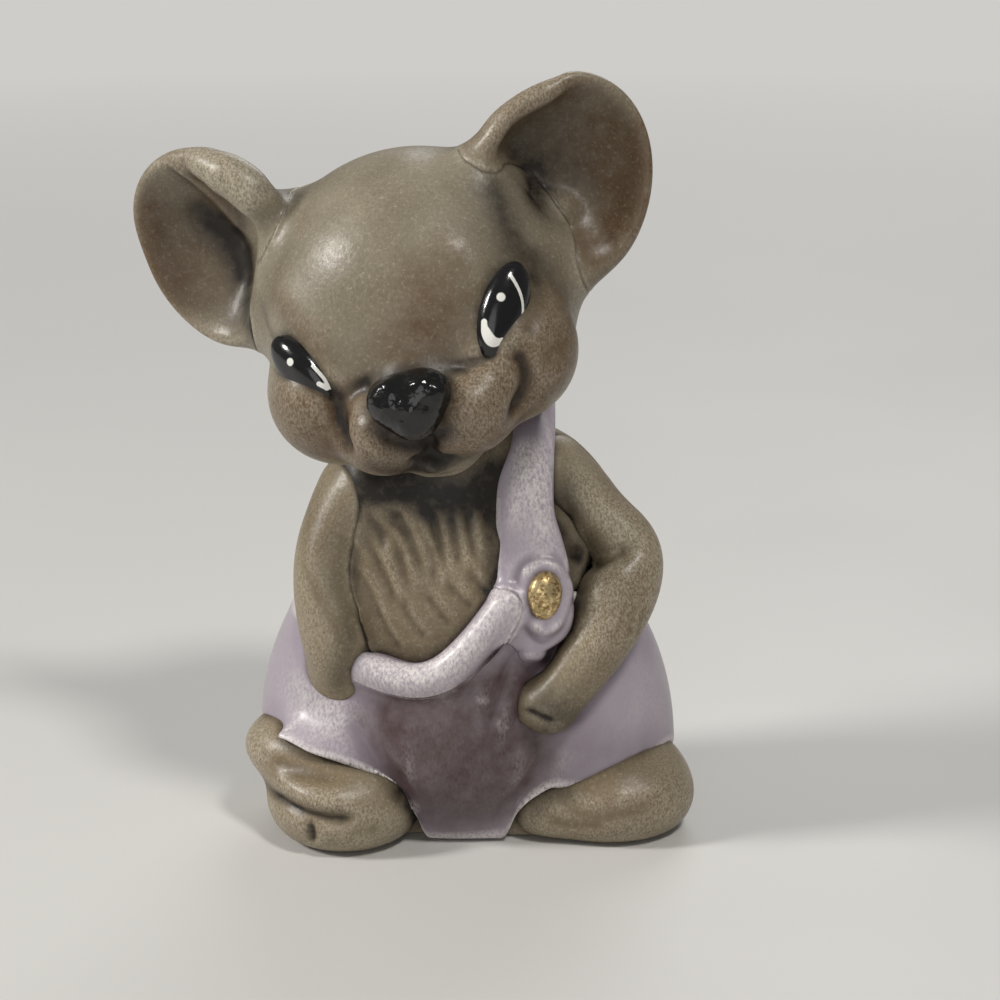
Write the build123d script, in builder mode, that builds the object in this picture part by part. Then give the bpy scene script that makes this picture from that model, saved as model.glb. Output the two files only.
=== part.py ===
from build123d import *
from math import cos, exp, log, pi, radians, sin, sqrt
import os

# A small bisque mouse that stands in one-strap overalls, its head tilted to one side.
# Millimetres. The mouse faces -Y, +X is its own left, +Z is up, and the table is z = 0.
# Each rounded form is a skin stretched over a few egg-shaped lumps of clay. A lump is a
# centre and three half sizes, and BLEND is how far the clay runs into the hollows.

# Casting
CASTING_WALL = 2.2
BLEND = 0.55
VENT_RADIUS = 1.5
VENT_BACK = 4.5
NECK_PASSAGE_RADIUS = 1.5
NECK_PASSAGE_X = -1.0

# Trunk: a belly between two hips, with the chest, shoulders and neck above
TRUNK_X = -0.4
BELLY_WIDE = 9.0
BELLY_DEEP = 8.3
BELLY_TALL = 11.5
BELLY_UP = 8.5
HIP_RIGHT_X = -5.6
HIP_RIGHT_WIDE = 9.2
HIP_RIGHT_TALL = 13.2
HIP_RIGHT_UP = 6.5
HIP_LEFT_X = 5.8
HIP_LEFT_WIDE = 9.3
HIP_LEFT_TALL = 14.4
HIP_LEFT_UP = 5.0
HIP_DEEP = 7.2
HIP_BACK = 0.6
CHEST_X = -0.8
CHEST_WIDE = 10.5
CHEST_DEEP = 7.6
CHEST_TALL = 9.5
CHEST_UP = 18.5
RIBS_X = 5.4
RIBS_BACK = 1.0
RIBS_WIDE = 5.6
RIBS_DEEP = 4.4
RIBS_TALL = 7.0
RIBS_UP = 22.5
SHOULDER_X = -1.4
SHOULDER_WIDE = 8.4
SHOULDER_DEEP = 5.6
SHOULDER_TALL = 6.0
SHOULDER_UP = 26.0
NECK_X = 0.5
NECK_WIDE = 5.4
NECK_DEEP = 4.8
NECK_TALL = 5.0
NECK_UP = 29.0

# Overalls, whose upper edge runs over the hips, dips in front and is higher behind
CLOTH = 0.7
ROMPER_SIDE_X = 13.5
ROMPER_SIDE_UP = 17.2
BIB_LEFT_X = -7.5
BIB_LEFT_UP = 14.8
BIB_SAG_X = -2.5
BIB_SAG_UP = 14.1
BIB_STRAP_X = 2.6
BIB_STRAP_UP = 19.2
BIB_TAB_X = 6.4
BIB_TAB_UP = 20.0
ROMPER_BACK_UP = 20.5
# Leg openings: how high each hem is beside the hip, over the foot and next to the crotch
LEG_RIGHT_SIDE_UP = 7.3
LEG_RIGHT_FRONT_UP = 5.8
LEG_RIGHT_FRONT_X = -9.0
LEG_RIGHT_CROTCH_X = -3.2
LEG_RIGHT_RISE_SHARE = 0.5
LEG_LEFT_SIDE_UP = 4.8
LEG_LEFT_FRONT_UP = 4.0
LEG_LEFT_FRONT_X = 7.5
LEG_LEFT_CROTCH_X = 3.4
LEG_LEFT_RISE_SHARE = 0.75
CROTCH_UP = 0.8

# Head, in its own frame: -Y is the way the mouse looks
HEAD_X = -3.3
HEAD_Y = -0.8
HEAD_Z = 40.0
HEAD_TILT_DEG = 16.5
HEAD_TURN_DEG = 6.0
HEAD_CORE_FORWARD = 4.5
CRANIUM_WIDE = 11.6
CRANIUM_DEEP = 11.0
CRANIUM_TALL = 11.3
CHEEK_OUT = 6.2
CHEEK_FORWARD = 6.0
CHEEK_DOWN = 3.5
CHEEK_SIZE = 5.1
MUZZLE_OUT = 3.0
MUZZLE_FORWARD = 9.2
MUZZLE_DOWN = 6.0
MUZZLE_WIDE = 3.5
MUZZLE_DEEP = 4.0
MUZZLE_TALL = 3.3
BRIDGE_FORWARD = 8.2
BRIDGE_DOWN = 3.4
BRIDGE_WIDE = 3.4
BRIDGE_DEEP = 4.4
BRIDGE_TALL = 3.0
CHIN_FORWARD = 6.6
CHIN_DOWN = 7.6
CHIN_SIZE = 3.6

# Nose and eyes, on the head
NOSE_FORWARD = 12.9
NOSE_DOWN = 3.8
NOSE_LOBE_OUT = 1.15
NOSE_LOBE_UP = 0.45
NOSE_LOBE_WIDE = 1.8
NOSE_LOBE_TALL = 1.7
NOSE_DEEP = 1.7
NOSE_TIP_DOWN = 1.1
NOSE_TIP_SIZE = 1.5
EYE_TURN_DEG = 41.0
EYE_DOWN_DEG = 3.0
EYE_WIDE = 1.9
EYE_TALL = 3.2
EYE_DEEP = 1.3
EYE_LEAN_DEG = 38.0
EYE_PROUD = 0.35

# Ears, on the head: a dish on a trumpet that runs back to a root inside the head
EAR_LEFT_OUT = 13.3
EAR_LEFT_UP = 6.3
EAR_RIGHT_OUT = 13.9
EAR_RIGHT_UP = 7.9
EAR_BACK = -0.6
EAR_HALF_WIDE = 6.5
EAR_HALF_TALL = 7.6
EAR_LEFT_OPENS_DEG = 46.0
EAR_RIGHT_OPENS_DEG = 60.0
EAR_LEFT_LEAN_DEG = 26.0
EAR_RIGHT_LEAN_DEG = 32.0
EAR_DEPTH = 6.2
EAR_ROOT_IN = 2.8
EAR_ROOT_DOWN = 1.2
EAR_EGG_SHARE = 0.12
# Along the depth of the ear: how far back, how large and how far shifted to the root
EAR_RING_SHARES = (
    (1.00, 0.46, 1.00),
    (0.75, 0.58, 0.75),
    (0.50, 0.76, 0.48),
    (0.30, 0.92, 0.25),
    (0.12, 1.00, 0.08),
    (0.00, 0.92, 0.00),
    (0.10, 0.79, 0.08),
    (0.25, 0.67, 0.25),
    (0.40, 0.48, 0.42),
    (0.50, 0.24, 0.54),
    (0.52, 0.06, 0.54),
)
EAR_OUTER_RINGS = 6

# Arms: the joints of each limb and the half width and half thickness there
RIGHT_SHOULDER_X = -9.2
RIGHT_SHOULDER_Y = -1.8
RIGHT_SHOULDER_Z = 24.8
RIGHT_ELBOW_X = -10.4
RIGHT_ELBOW_Y = -3.4
RIGHT_ELBOW_Z = 20.4
RIGHT_WRIST_X = -9.8
RIGHT_WRIST_Y = -5.4
RIGHT_WRIST_Z = 15.8
RIGHT_HAND_X = -9.0
RIGHT_HAND_Y = -4.4
RIGHT_HAND_Z = 12.8
RIGHT_ARM_WIDE = 2.2
RIGHT_ARM_THICK = 2.6
RIGHT_HAND_THICK = 1.8
LEFT_SHOULDER_X = 6.6
LEFT_SHOULDER_Y = -1.4
LEFT_SHOULDER_Z = 27.8
LEFT_UPPER_ARM_X = 10.0
LEFT_UPPER_ARM_Y = -2.0
LEFT_UPPER_ARM_Z = 24.6
LEFT_ELBOW_X = 12.1
LEFT_ELBOW_Y = -3.4
LEFT_ELBOW_Z = 21.4
LEFT_FOREARM_X = 10.6
LEFT_FOREARM_Y = -5.8
LEFT_FOREARM_Z = 17.2
LEFT_WRIST_X = 8.2
LEFT_WRIST_Y = -7.4
LEFT_WRIST_Z = 13.6
LEFT_PAW_X = 6.2
LEFT_PAW_Y = -7.8
LEFT_PAW_Z = 11.2
LEFT_UPPER_ARM_WIDE = 1.8
LEFT_FOREARM_WIDE = 2.5
LEFT_ARM_THICK = 2.5
LEFT_PAW_WIDE = 2.0
LEFT_PAW_THICK = 1.6

# Feet: the sole in front, the roll of the ankle above it and the heel at the side
FOOT_RIGHT_X = -9.0
FOOT_RIGHT_Y = -4.6
FOOT_RIGHT_UP = 2.9
FOOT_RIGHT_WIDE = 5.9
FOOT_RIGHT_DEEP = 6.0
FOOT_RIGHT_TALL = 4.2
ANKLE_RIGHT_X = -11.2
ANKLE_RIGHT_Y = -2.2
ANKLE_RIGHT_UP = 6.2
ANKLE_RIGHT_WIDE = 5.5
ANKLE_RIGHT_DEEP = 4.9
ANKLE_RIGHT_TALL = 3.0
FOOT_LEFT_X = 11.0
FOOT_LEFT_Y = -3.2
FOOT_LEFT_UP = 2.5
FOOT_LEFT_WIDE = 6.2
FOOT_LEFT_DEEP = 5.4
FOOT_LEFT_TALL = 3.9
TOE_LEFT_X = 6.5
TOE_LEFT_Y = -2.8
TOE_LEFT_WIDE = 4.2
TOE_LEFT_DEEP = 4.8
TOE_LEFT_TALL = 3.4
HEEL_LEFT_X = 12.6
HEEL_LEFT_Y = -1.8
HEEL_LEFT_UP = 3.6
HEEL_LEFT_WIDE = 3.8
HEEL_LEFT_DEEP = 4.6
HEEL_LEFT_TALL = 3.2

# Strap, from the middle of the back over the left shoulder to a round tab on the bib
STRAP_BACK_X = 1.5
STRAP_BACK_DOWN = 1.5
STRAP_TOP_X = 4.2
STRAP_CHEST_X = 4.1
STRAP_CHEST_UP = 27.0
STRAP_TAB_X = 5.3
STRAP_TAB_UP = 19.5
STRAP_FOOT_UP = 15.8
STRAP_WIDE = 2.4
STRAP_TAB_WIDE = 2.7
STRAP_THICK = 1.0

# Button on the tab, and the rolled hem of the bib
BUTTON_X = 5.9
BUTTON_UP = 19.8
BUTTON_WIDE = 1.4
BUTTON_TALL = 1.85
BUTTON_DEEP = 1.0
BUTTON_SUNK = 0.3
HEM_RADIUS = 0.75
HEM_STATIONS = 5

# Tail, which lies on the back of the overalls
TAIL_X = 0.5
TAIL_UP = 8.0
TAIL_SWING = 11.5
TAIL_DROP = 4.0
TAIL_RADIUS = 1.5
TAIL_TIP_RADIUS = 0.8
# Along the tail: how far across, how far down and how far from thick to thin
TAIL_PROUD_SHARE = 0.5
TAIL_SHARES = ((0.0, 0.0), (0.25, 0.55), (0.55, 1.0), (0.82, 0.8), (1.0, 0.15))

# Fineness of the skins, and a length longer than any piece, for cuts and searches
RING_COUNT = 15
RING_POINTS = 32
HOLLOW_RING_COUNT = 8
HOLLOW_RING_POINTS = 16
FOOT_RING_COUNT = 9
FOOT_RING_POINTS = 20
SMALL_RING_COUNT = 8
SMALL_RING_POINTS = 14
EAR_POINTS = 24
LIMB_RINGS = 2
LIMB_POINTS = 12
# A rounded end: how far beyond the limb's last station, and how large there
END_SHARES = ((0.45, 0.89), (0.8, 0.6), (0.98, 0.2))
# How far a skin's small end flats reach from its pole, as a turn of the half circle
POLE_DEG = 9.0
HALVINGS = 34
REACH = 70.0


def lump(x, y, z, half_wide, half_deep, half_tall):
    return (x, y, z), (half_wide, half_deep, half_tall)


def depth(point, lumps):
    """How deep a point lies in the blended lumps, in millimetres, and negative outside."""
    total = 0.0
    for centre, halves in lumps:
        away = sqrt(sum(((p - c) / h) ** 2 for p, c, h in zip(point, centre, halves)))
        total += exp((1 - away) * min(halves) / BLEND)
    return BLEND * log(total) if total > 0 else -REACH


def skin_point(lumps, start, way, outside=0.0):
    """The point where a ray from inside the lumps leaves the skin that lies a wall outside them."""
    near, far = 0.0, REACH / 2
    for _ in range(HALVINGS):
        middle = (near + far) / 2
        point = tuple(s + middle * w for s, w in zip(start, way))
        if depth(point, lumps) > -outside:
            near = middle
        else:
            far = middle
    return tuple(s + near * w for s, w in zip(start, way))


def ring_face(plane, points):
    with BuildSketch(plane) as ring:
        with BuildLine():
            Polyline(*points, close=True)
        make_face()
    return ring.sketch.face()


def skin_sections(plane, lumps, outside=0.0, floor=None, core=(0.0, 0.0), foot=None,
                  count=RING_COUNT, around=RING_POINTS):
    """Sections of the skin round the lumps, stacked round a core line from a small flat to another.

    The core line runs up the plane's normal, and leans where its foot is given apart from its top.
    """
    foot = core if foot is None else foot
    middle = lumps[0][0][2]
    top = skin_point(lumps, (*core, middle), (0, 0, 1), outside)[2]
    bottom = skin_point(lumps, (*foot, middle), (0, 0, -1), outside)[2] if floor is None else floor
    sections = []
    pole = radians(POLE_DEG)
    for n in range(count + 1):
        turn = pole + (pi - 2 * pole) * n / count if floor is None else (pi - pole) * n / count
        share = (1 - cos(turn)) / 2 if floor is None else sin(turn / 2)
        height = bottom + (top - bottom) * share
        x, y = (f * (1 - share) + c * share for f, c in zip(foot, core))
        points = []
        for k in range(around):
            angle = 2 * pi * k / around
            points.append(skin_point(lumps, (x, y, height), (cos(angle), sin(angle), 0), outside)[:2])
        sections.append(ring_face(plane.offset(height), points))
    return sections


def skin(plane, lumps, **how):
    """The solid inside the skin round the lumps."""
    with BuildPart() as body:
        loft(skin_sections(plane, lumps, **how), ruled=True)
    return body.part


def outward(point, lumps):
    """The unit vector that points straight out of the blended lumps at a point."""
    slope = [0.0, 0.0, 0.0]
    for centre, halves in lumps:
        away = sqrt(sum(((p - c) / h) ** 2 for p, c, h in zip(point, centre, halves)))
        weight = exp((1 - away) * min(halves) / BLEND) * min(halves) / away
        for n in range(3):
            slope[n] += weight * (point[n] - centre[n]) / halves[n] ** 2
    return Vector(*slope).normalized()


def limb(stations, across):
    """A rounded limb along a route of stations, each a point with its half width and half thickness."""
    points = [Vector(*point) for point, _, _ in stations]
    spans = len(points) - 1
    route = Edge.make_spline(points, parameters=[n / spans for n in range(spans + 1)])
    # Along the limb: a rounded end, rings between the stations, and the other rounded end
    places = [(0.0, -share, size) for share, size in reversed(END_SHARES)]
    places += [(n / (spans * LIMB_RINGS), 0.0, 1.0) for n in range(spans * LIMB_RINGS + 1)]
    places += [(1.0, share, size) for share, size in END_SHARES]
    sections = []
    for along, beyond, size in places:
        first = min(int(along * spans), spans - 1)
        part_way = along * spans - first
        wide, thick = (
            stations[first][n] * (1 - part_way) + stations[first + 1][n] * part_way for n in (1, 2))
        way = route.tangent_at(along)
        side = (Vector(*across) - way * way.dot(Vector(*across))).normalized()
        origin = route.position_at(along) + way * beyond * min(wide, thick)
        points = []
        for k in range(LIMB_POINTS):
            angle = 2 * pi * k / LIMB_POINTS
            points.append((wide * size * cos(angle), thick * size * sin(angle)))
        sections.append(ring_face(Plane(origin=origin, x_dir=side, z_dir=way), points))
    with BuildPart() as body:
        loft(sections, ruled=True)
    return body.part


def bead(point, way, across, half_wide, half_tall, half_deep):
    """A small egg at a point, its depth along one direction and its width across."""
    plane = Plane(origin=point, x_dir=across, z_dir=way)
    return skin(plane, [lump(0, 0, 0, half_wide, half_tall, half_deep)],
                count=SMALL_RING_COUNT, around=SMALL_RING_POINTS)


# Head skin, from the skull, the bridge of the nose, the chin, the cheeks and the muzzle
head_plane = Plane(Location((HEAD_X, HEAD_Y, HEAD_Z), (0, -HEAD_TILT_DEG, -HEAD_TURN_DEG)))
cranium_lump = lump(0, 0, 0, CRANIUM_WIDE, CRANIUM_DEEP, CRANIUM_TALL)
head_lumps = [
    cranium_lump,
    lump(0, -BRIDGE_FORWARD, -BRIDGE_DOWN, BRIDGE_WIDE, BRIDGE_DEEP, BRIDGE_TALL),
    lump(0, -CHIN_FORWARD, -CHIN_DOWN, CHIN_SIZE, CHIN_SIZE, CHIN_SIZE),
]
for side in (-1, 1):
    head_lumps += [
        lump(side * CHEEK_OUT, -CHEEK_FORWARD, -CHEEK_DOWN, CHEEK_SIZE, CHEEK_SIZE, CHEEK_SIZE),
        lump(side * MUZZLE_OUT, -MUZZLE_FORWARD, -MUZZLE_DOWN, MUZZLE_WIDE, MUZZLE_DEEP, MUZZLE_TALL),
    ]
head_skin = skin(head_plane, head_lumps, foot=(0, -HEAD_CORE_FORWARD))

# Trunk skin, and the same skin grown by the cloth for the overalls
trunk_core = (TRUNK_X, 0)
hollow_lumps = [
    lump(TRUNK_X, 0, BELLY_UP, BELLY_WIDE, BELLY_DEEP, BELLY_TALL),
    lump(HIP_RIGHT_X, HIP_BACK, HIP_RIGHT_UP, HIP_RIGHT_WIDE, HIP_DEEP, HIP_RIGHT_TALL),
    lump(HIP_LEFT_X, HIP_BACK, HIP_LEFT_UP, HIP_LEFT_WIDE, HIP_DEEP, HIP_LEFT_TALL),
    lump(CHEST_X, 0, CHEST_UP, CHEST_WIDE, CHEST_DEEP, CHEST_TALL),
]
trunk_lumps = hollow_lumps + [
    lump(RIBS_X, RIBS_BACK, RIBS_UP, RIBS_WIDE, RIBS_DEEP, RIBS_TALL),
    lump(SHOULDER_X, 0, SHOULDER_UP, SHOULDER_WIDE, SHOULDER_DEEP, SHOULDER_TALL),
    lump(NECK_X, 0, NECK_UP, NECK_WIDE, NECK_DEEP, NECK_TALL),
]
trunk_skin = skin(Plane.XY, trunk_lumps, floor=0.0, core=trunk_core)
cloth_skin = skin(Plane.XY, trunk_lumps, outside=CLOTH, floor=0.0, core=trunk_core)


def on_trunk(x, z, back=False, outside=0.0):
    """The point of the trunk skin straight in front of, or behind, a place in the front view."""
    return skin_point(trunk_lumps, (x, 0, z), (0, 1 if back else -1, 0), outside)


# Nose and eyes
with BuildPart() as nose:
    nose_lumps = [
        lump(0, -NOSE_FORWARD, -NOSE_DOWN - NOSE_TIP_DOWN, NOSE_TIP_SIZE, NOSE_DEEP, NOSE_TIP_SIZE)]
    for side in (-1, 1):
        nose_lumps.append(lump(
            side * NOSE_LOBE_OUT, -NOSE_FORWARD, -NOSE_DOWN + NOSE_LOBE_UP,
            NOSE_LOBE_WIDE, NOSE_DEEP, NOSE_LOBE_TALL))
    add(skin(head_plane, nose_lumps, core=(0, -NOSE_FORWARD),
             count=SMALL_RING_COUNT, around=SMALL_RING_POINTS))

eyes = {}
for name, side in (("eye_left", 1), ("eye_right", -1)):
    turn, lean, down = (radians(angle) for angle in (EYE_TURN_DEG, EYE_LEAN_DEG, EYE_DOWN_DEG))
    way = (side * sin(turn) * cos(down), -cos(turn) * cos(down), -sin(down))
    seat = Vector(*skin_point(head_lumps, (0, 0, 0), way)) - Vector(*way) * (EYE_DEEP - EYE_PROUD)
    level = Vector(cos(turn), side * sin(turn), 0)
    across = level * cos(lean) - Vector(0, 0, 1) * side * sin(lean)
    with BuildPart() as eye:
        add(bead(
            head_plane.from_local_coords(seat), head_plane.from_local_coords(Vector(*way)) - head_plane.origin,
            head_plane.from_local_coords(across) - head_plane.origin, EYE_WIDE, EYE_TALL, EYE_DEEP))
    eyes[name] = eye

# Head: a hollow skull with seats for the nose and eyes, open to the trunk through the neck
with BuildPart() as head:
    add(head_skin)
    add(skin(head_plane, [cranium_lump], outside=-CASTING_WALL,
             count=HOLLOW_RING_COUNT, around=HOLLOW_RING_POINTS), mode=Mode.SUBTRACT)
    add(nose.part, mode=Mode.SUBTRACT)
    for eye in eyes.values():
        add(eye.part, mode=Mode.SUBTRACT)
    with Locations((NECK_PASSAGE_X, 0, NECK_UP)):
        Cylinder(NECK_PASSAGE_RADIUS, 2 * NECK_TALL, mode=Mode.SUBTRACT)

# Trunk: hollow, with a closed base that has one vent behind
with BuildPart() as trunk:
    add(trunk_skin)
    add(head_skin, mode=Mode.SUBTRACT)
    add(skin(Plane.XY, hollow_lumps, outside=-CASTING_WALL, floor=CASTING_WALL, core=trunk_core,
             count=HOLLOW_RING_COUNT, around=HOLLOW_RING_POINTS), mode=Mode.SUBTRACT)
    with Locations((NECK_PASSAGE_X, 0, NECK_UP)):
        Cylinder(NECK_PASSAGE_RADIUS, 2 * NECK_TALL, mode=Mode.SUBTRACT)
    with Locations((TRUNK_X, VENT_BACK, 0)):
        Cylinder(VENT_RADIUS, 3 * CASTING_WALL, mode=Mode.SUBTRACT)

# Ears
ears = {}
for name, side, out, up, opens_deg, lean_deg in (
    ("ear_left", 1, EAR_LEFT_OUT, EAR_LEFT_UP, EAR_LEFT_OPENS_DEG, EAR_LEFT_LEAN_DEG),
    ("ear_right", -1, EAR_RIGHT_OUT, EAR_RIGHT_UP, EAR_RIGHT_OPENS_DEG, EAR_RIGHT_LEAN_DEG),
):
    opens = radians(opens_deg)
    in_head = Plane(
        origin=(side * out, EAR_BACK, up), x_dir=(side * cos(opens), sin(opens), 0),
        z_dir=(side * sin(opens), -cos(opens), 0)).rotated((0, 0, -side * lean_deg))
    ear_plane = Plane(head_plane.location * in_head.location)
    sections = []
    for back, size, shift in EAR_RING_SHARES:
        points = []
        for k in range(EAR_POINTS):
            angle = 2 * pi * k / EAR_POINTS
            wide = size * EAR_HALF_WIDE * (1 + EAR_EGG_SHARE * sin(angle))
            points.append((
                wide * cos(angle) - shift * EAR_ROOT_IN,
                side * (size * EAR_HALF_TALL * sin(angle) - shift * EAR_ROOT_DOWN)))
        sections.append(ring_face(ear_plane.offset(-back * EAR_DEPTH), points))
    with BuildPart() as ear:
        loft(sections[:EAR_OUTER_RINGS], ruled=True)
        loft(sections[EAR_OUTER_RINGS - 1:], ruled=True, mode=Mode.SUBTRACT)
        add(head_skin, mode=Mode.SUBTRACT)
    ears[name] = ear

# Overalls: the cloth between the two skins, cut to its upper edge and to the legs
with BuildPart() as dressed:
    add(cloth_skin)
    with BuildSketch(Plane.XZ) as above_front:
        with BuildLine():
            edge = Spline(
                (-ROMPER_SIDE_X, ROMPER_SIDE_UP), (BIB_LEFT_X, BIB_LEFT_UP), (BIB_SAG_X, BIB_SAG_UP),
                (BIB_STRAP_X, BIB_STRAP_UP), (BIB_TAB_X, BIB_TAB_UP), (ROMPER_SIDE_X, ROMPER_SIDE_UP))
            Polyline(edge @ 1, (REACH, ROMPER_SIDE_UP), (REACH, REACH), (-REACH, REACH),
                     (-REACH, ROMPER_SIDE_UP), edge @ 0)
        make_face()
    extrude(amount=REACH, mode=Mode.SUBTRACT)
    with BuildSketch(Plane.XZ) as above_back:
        with BuildLine():
            edge = Spline((-ROMPER_SIDE_X, ROMPER_SIDE_UP), (TRUNK_X, ROMPER_BACK_UP),
                          (ROMPER_SIDE_X, ROMPER_SIDE_UP))
            Polyline(edge @ 1, (REACH, ROMPER_SIDE_UP), (REACH, REACH), (-REACH, REACH),
                     (-REACH, ROMPER_SIDE_UP), edge @ 0)
        make_face()
    extrude(amount=-REACH, mode=Mode.SUBTRACT)
    for crotch_x, front_x, front_up, side_up, rise in (
        (LEG_RIGHT_CROTCH_X, LEG_RIGHT_FRONT_X, LEG_RIGHT_FRONT_UP, LEG_RIGHT_SIDE_UP,
         LEG_RIGHT_RISE_SHARE),
        (LEG_LEFT_CROTCH_X, LEG_LEFT_FRONT_X, LEG_LEFT_FRONT_UP, LEG_LEFT_SIDE_UP,
         LEG_LEFT_RISE_SHARE),
    ):
        side = front_x / abs(front_x)
        with BuildSketch(Plane.XZ) as under_leg:
            with BuildLine():
                edge = Spline((crotch_x, CROTCH_UP),
                              ((crotch_x + front_x) / 2, CROTCH_UP + (front_up - CROTCH_UP) * rise),
                              (front_x, front_up), (side * ROMPER_SIDE_X, side_up))
                Polyline(edge @ 1, (side * REACH, side_up), (side * REACH, -REACH),
                         (crotch_x, -REACH), edge @ 0)
            make_face()
        extrude(amount=REACH, both=True, mode=Mode.SUBTRACT)
with BuildPart() as romper:
    add(dressed.part)
    add(trunk_skin, mode=Mode.SUBTRACT)
# What lies on the figure is seated on the whole body, first on its clothed part
body_seats = (dressed.part, trunk_skin)

# Strap: a flat band laid over the shoulder, which widens to the tab on the bib
strap_route = [
    (on_trunk(STRAP_BACK_X, ROMPER_BACK_UP - STRAP_BACK_DOWN, back=True, outside=CLOTH), STRAP_WIDE),
    (on_trunk((STRAP_BACK_X + STRAP_TOP_X) / 2, SHOULDER_UP, back=True), STRAP_WIDE),
    (skin_point(trunk_lumps, (STRAP_TOP_X, 0, SHOULDER_UP), (0, 0, 1)), STRAP_WIDE),
    (on_trunk(STRAP_CHEST_X, STRAP_CHEST_UP), STRAP_WIDE),
    (on_trunk((STRAP_CHEST_X + STRAP_TAB_X) / 2, (STRAP_CHEST_UP + STRAP_TAB_UP) / 2), STRAP_WIDE),
    (on_trunk(STRAP_TAB_X, STRAP_TAB_UP, outside=CLOTH), STRAP_TAB_WIDE),
    (on_trunk(STRAP_TAB_X, STRAP_FOOT_UP, outside=CLOTH), STRAP_TAB_WIDE),
]
strap_band = limb([(point, wide, STRAP_THICK) for point, wide in strap_route], across=(1, 0, 0))

# Button, a domed bead pressed into the tab
button_seat = on_trunk(BUTTON_X, BUTTON_UP, outside=CLOTH + STRAP_THICK - BUTTON_SUNK)
button_bead = bead(button_seat, outward(button_seat, trunk_lumps), (1, 0, 0),
                   BUTTON_WIDE, BUTTON_TALL, BUTTON_DEEP)
with BuildPart() as button:
    add(button_bead)
    for seat in body_seats:
        add(seat, mode=Mode.SUBTRACT)
with BuildPart() as strap:
    add(strap_band)
    for seat in (button_bead, *body_seats, head_skin):
        add(seat, mode=Mode.SUBTRACT)

# Rolled hem, along the upper edge of the bib
bib_edge = Edge.make_spline([
    (BIB_LEFT_X, BIB_LEFT_UP), (BIB_SAG_X, BIB_SAG_UP), (BIB_STRAP_X, BIB_STRAP_UP)])
hem_route = []
for n in range(HEM_STATIONS + 1):
    place = bib_edge.position_at(n / HEM_STATIONS)
    hem_route.append(on_trunk(place.X, place.Y, outside=CLOTH))
hem_bead = limb([(point, HEM_RADIUS, HEM_RADIUS) for point in hem_route], across=(0, -1, 0))
with BuildPart() as bib_hem:
    add(hem_bead)
    for seat in (strap_band, *body_seats):
        add(seat, mode=Mode.SUBTRACT)

# Arms: the right hand goes into its pocket, and the left paw rests on the hip
with BuildPart() as arm_right:
    add(limb([
        ((RIGHT_SHOULDER_X, RIGHT_SHOULDER_Y, RIGHT_SHOULDER_Z), RIGHT_ARM_THICK, RIGHT_ARM_WIDE),
        ((RIGHT_ELBOW_X, RIGHT_ELBOW_Y, RIGHT_ELBOW_Z), RIGHT_ARM_THICK, RIGHT_ARM_WIDE),
        ((RIGHT_WRIST_X, RIGHT_WRIST_Y, RIGHT_WRIST_Z), RIGHT_ARM_WIDE, RIGHT_ARM_WIDE),
        ((RIGHT_HAND_X, RIGHT_HAND_Y, RIGHT_HAND_Z), RIGHT_HAND_THICK, RIGHT_HAND_THICK),
    ], across=(0, -1, 0)))
    for seat in (hem_bead, *body_seats):
        add(seat, mode=Mode.SUBTRACT)
with BuildPart() as arm_left:
    add(limb([
        ((LEFT_SHOULDER_X, LEFT_SHOULDER_Y, LEFT_SHOULDER_Z), LEFT_ARM_THICK, LEFT_UPPER_ARM_WIDE),
        ((LEFT_UPPER_ARM_X, LEFT_UPPER_ARM_Y, LEFT_UPPER_ARM_Z), LEFT_ARM_THICK, LEFT_UPPER_ARM_WIDE),
        ((LEFT_ELBOW_X, LEFT_ELBOW_Y, LEFT_ELBOW_Z), LEFT_ARM_THICK, LEFT_FOREARM_WIDE),
        ((LEFT_FOREARM_X, LEFT_FOREARM_Y, LEFT_FOREARM_Z), LEFT_ARM_THICK, LEFT_FOREARM_WIDE),
        ((LEFT_WRIST_X, LEFT_WRIST_Y, LEFT_WRIST_Z), LEFT_PAW_THICK, LEFT_PAW_WIDE),
        ((LEFT_PAW_X, LEFT_PAW_Y, LEFT_PAW_Z), LEFT_PAW_THICK, LEFT_PAW_WIDE),
    ], across=(0, -1, 0)))
    for seat in (strap_band, button_bead, *body_seats):
        add(seat, mode=Mode.SUBTRACT)

# Feet, cut flat where they stand
foot_lumps = {
    "foot_right": [
        lump(FOOT_RIGHT_X, FOOT_RIGHT_Y, FOOT_RIGHT_UP, FOOT_RIGHT_WIDE, FOOT_RIGHT_DEEP, FOOT_RIGHT_TALL),
        lump(ANKLE_RIGHT_X, ANKLE_RIGHT_Y, ANKLE_RIGHT_UP,
             ANKLE_RIGHT_WIDE, ANKLE_RIGHT_DEEP, ANKLE_RIGHT_TALL),
    ],
    "foot_left": [
        lump(FOOT_LEFT_X, FOOT_LEFT_Y, FOOT_LEFT_UP, FOOT_LEFT_WIDE, FOOT_LEFT_DEEP, FOOT_LEFT_TALL),
        lump(TOE_LEFT_X, TOE_LEFT_Y, FOOT_LEFT_UP, TOE_LEFT_WIDE, TOE_LEFT_DEEP, TOE_LEFT_TALL),
        lump(HEEL_LEFT_X, HEEL_LEFT_Y, HEEL_LEFT_UP, HEEL_LEFT_WIDE, HEEL_LEFT_DEEP, HEEL_LEFT_TALL),
    ],
}
feet = {}
for name, lumps in foot_lumps.items():
    with BuildPart() as foot:
        add(skin(Plane.XY, lumps, floor=0.0, core=lumps[0][0][:2],
                 count=FOOT_RING_COUNT, around=FOOT_RING_POINTS))
        for seat in body_seats:
            add(seat, mode=Mode.SUBTRACT)
    feet[name] = foot

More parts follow.
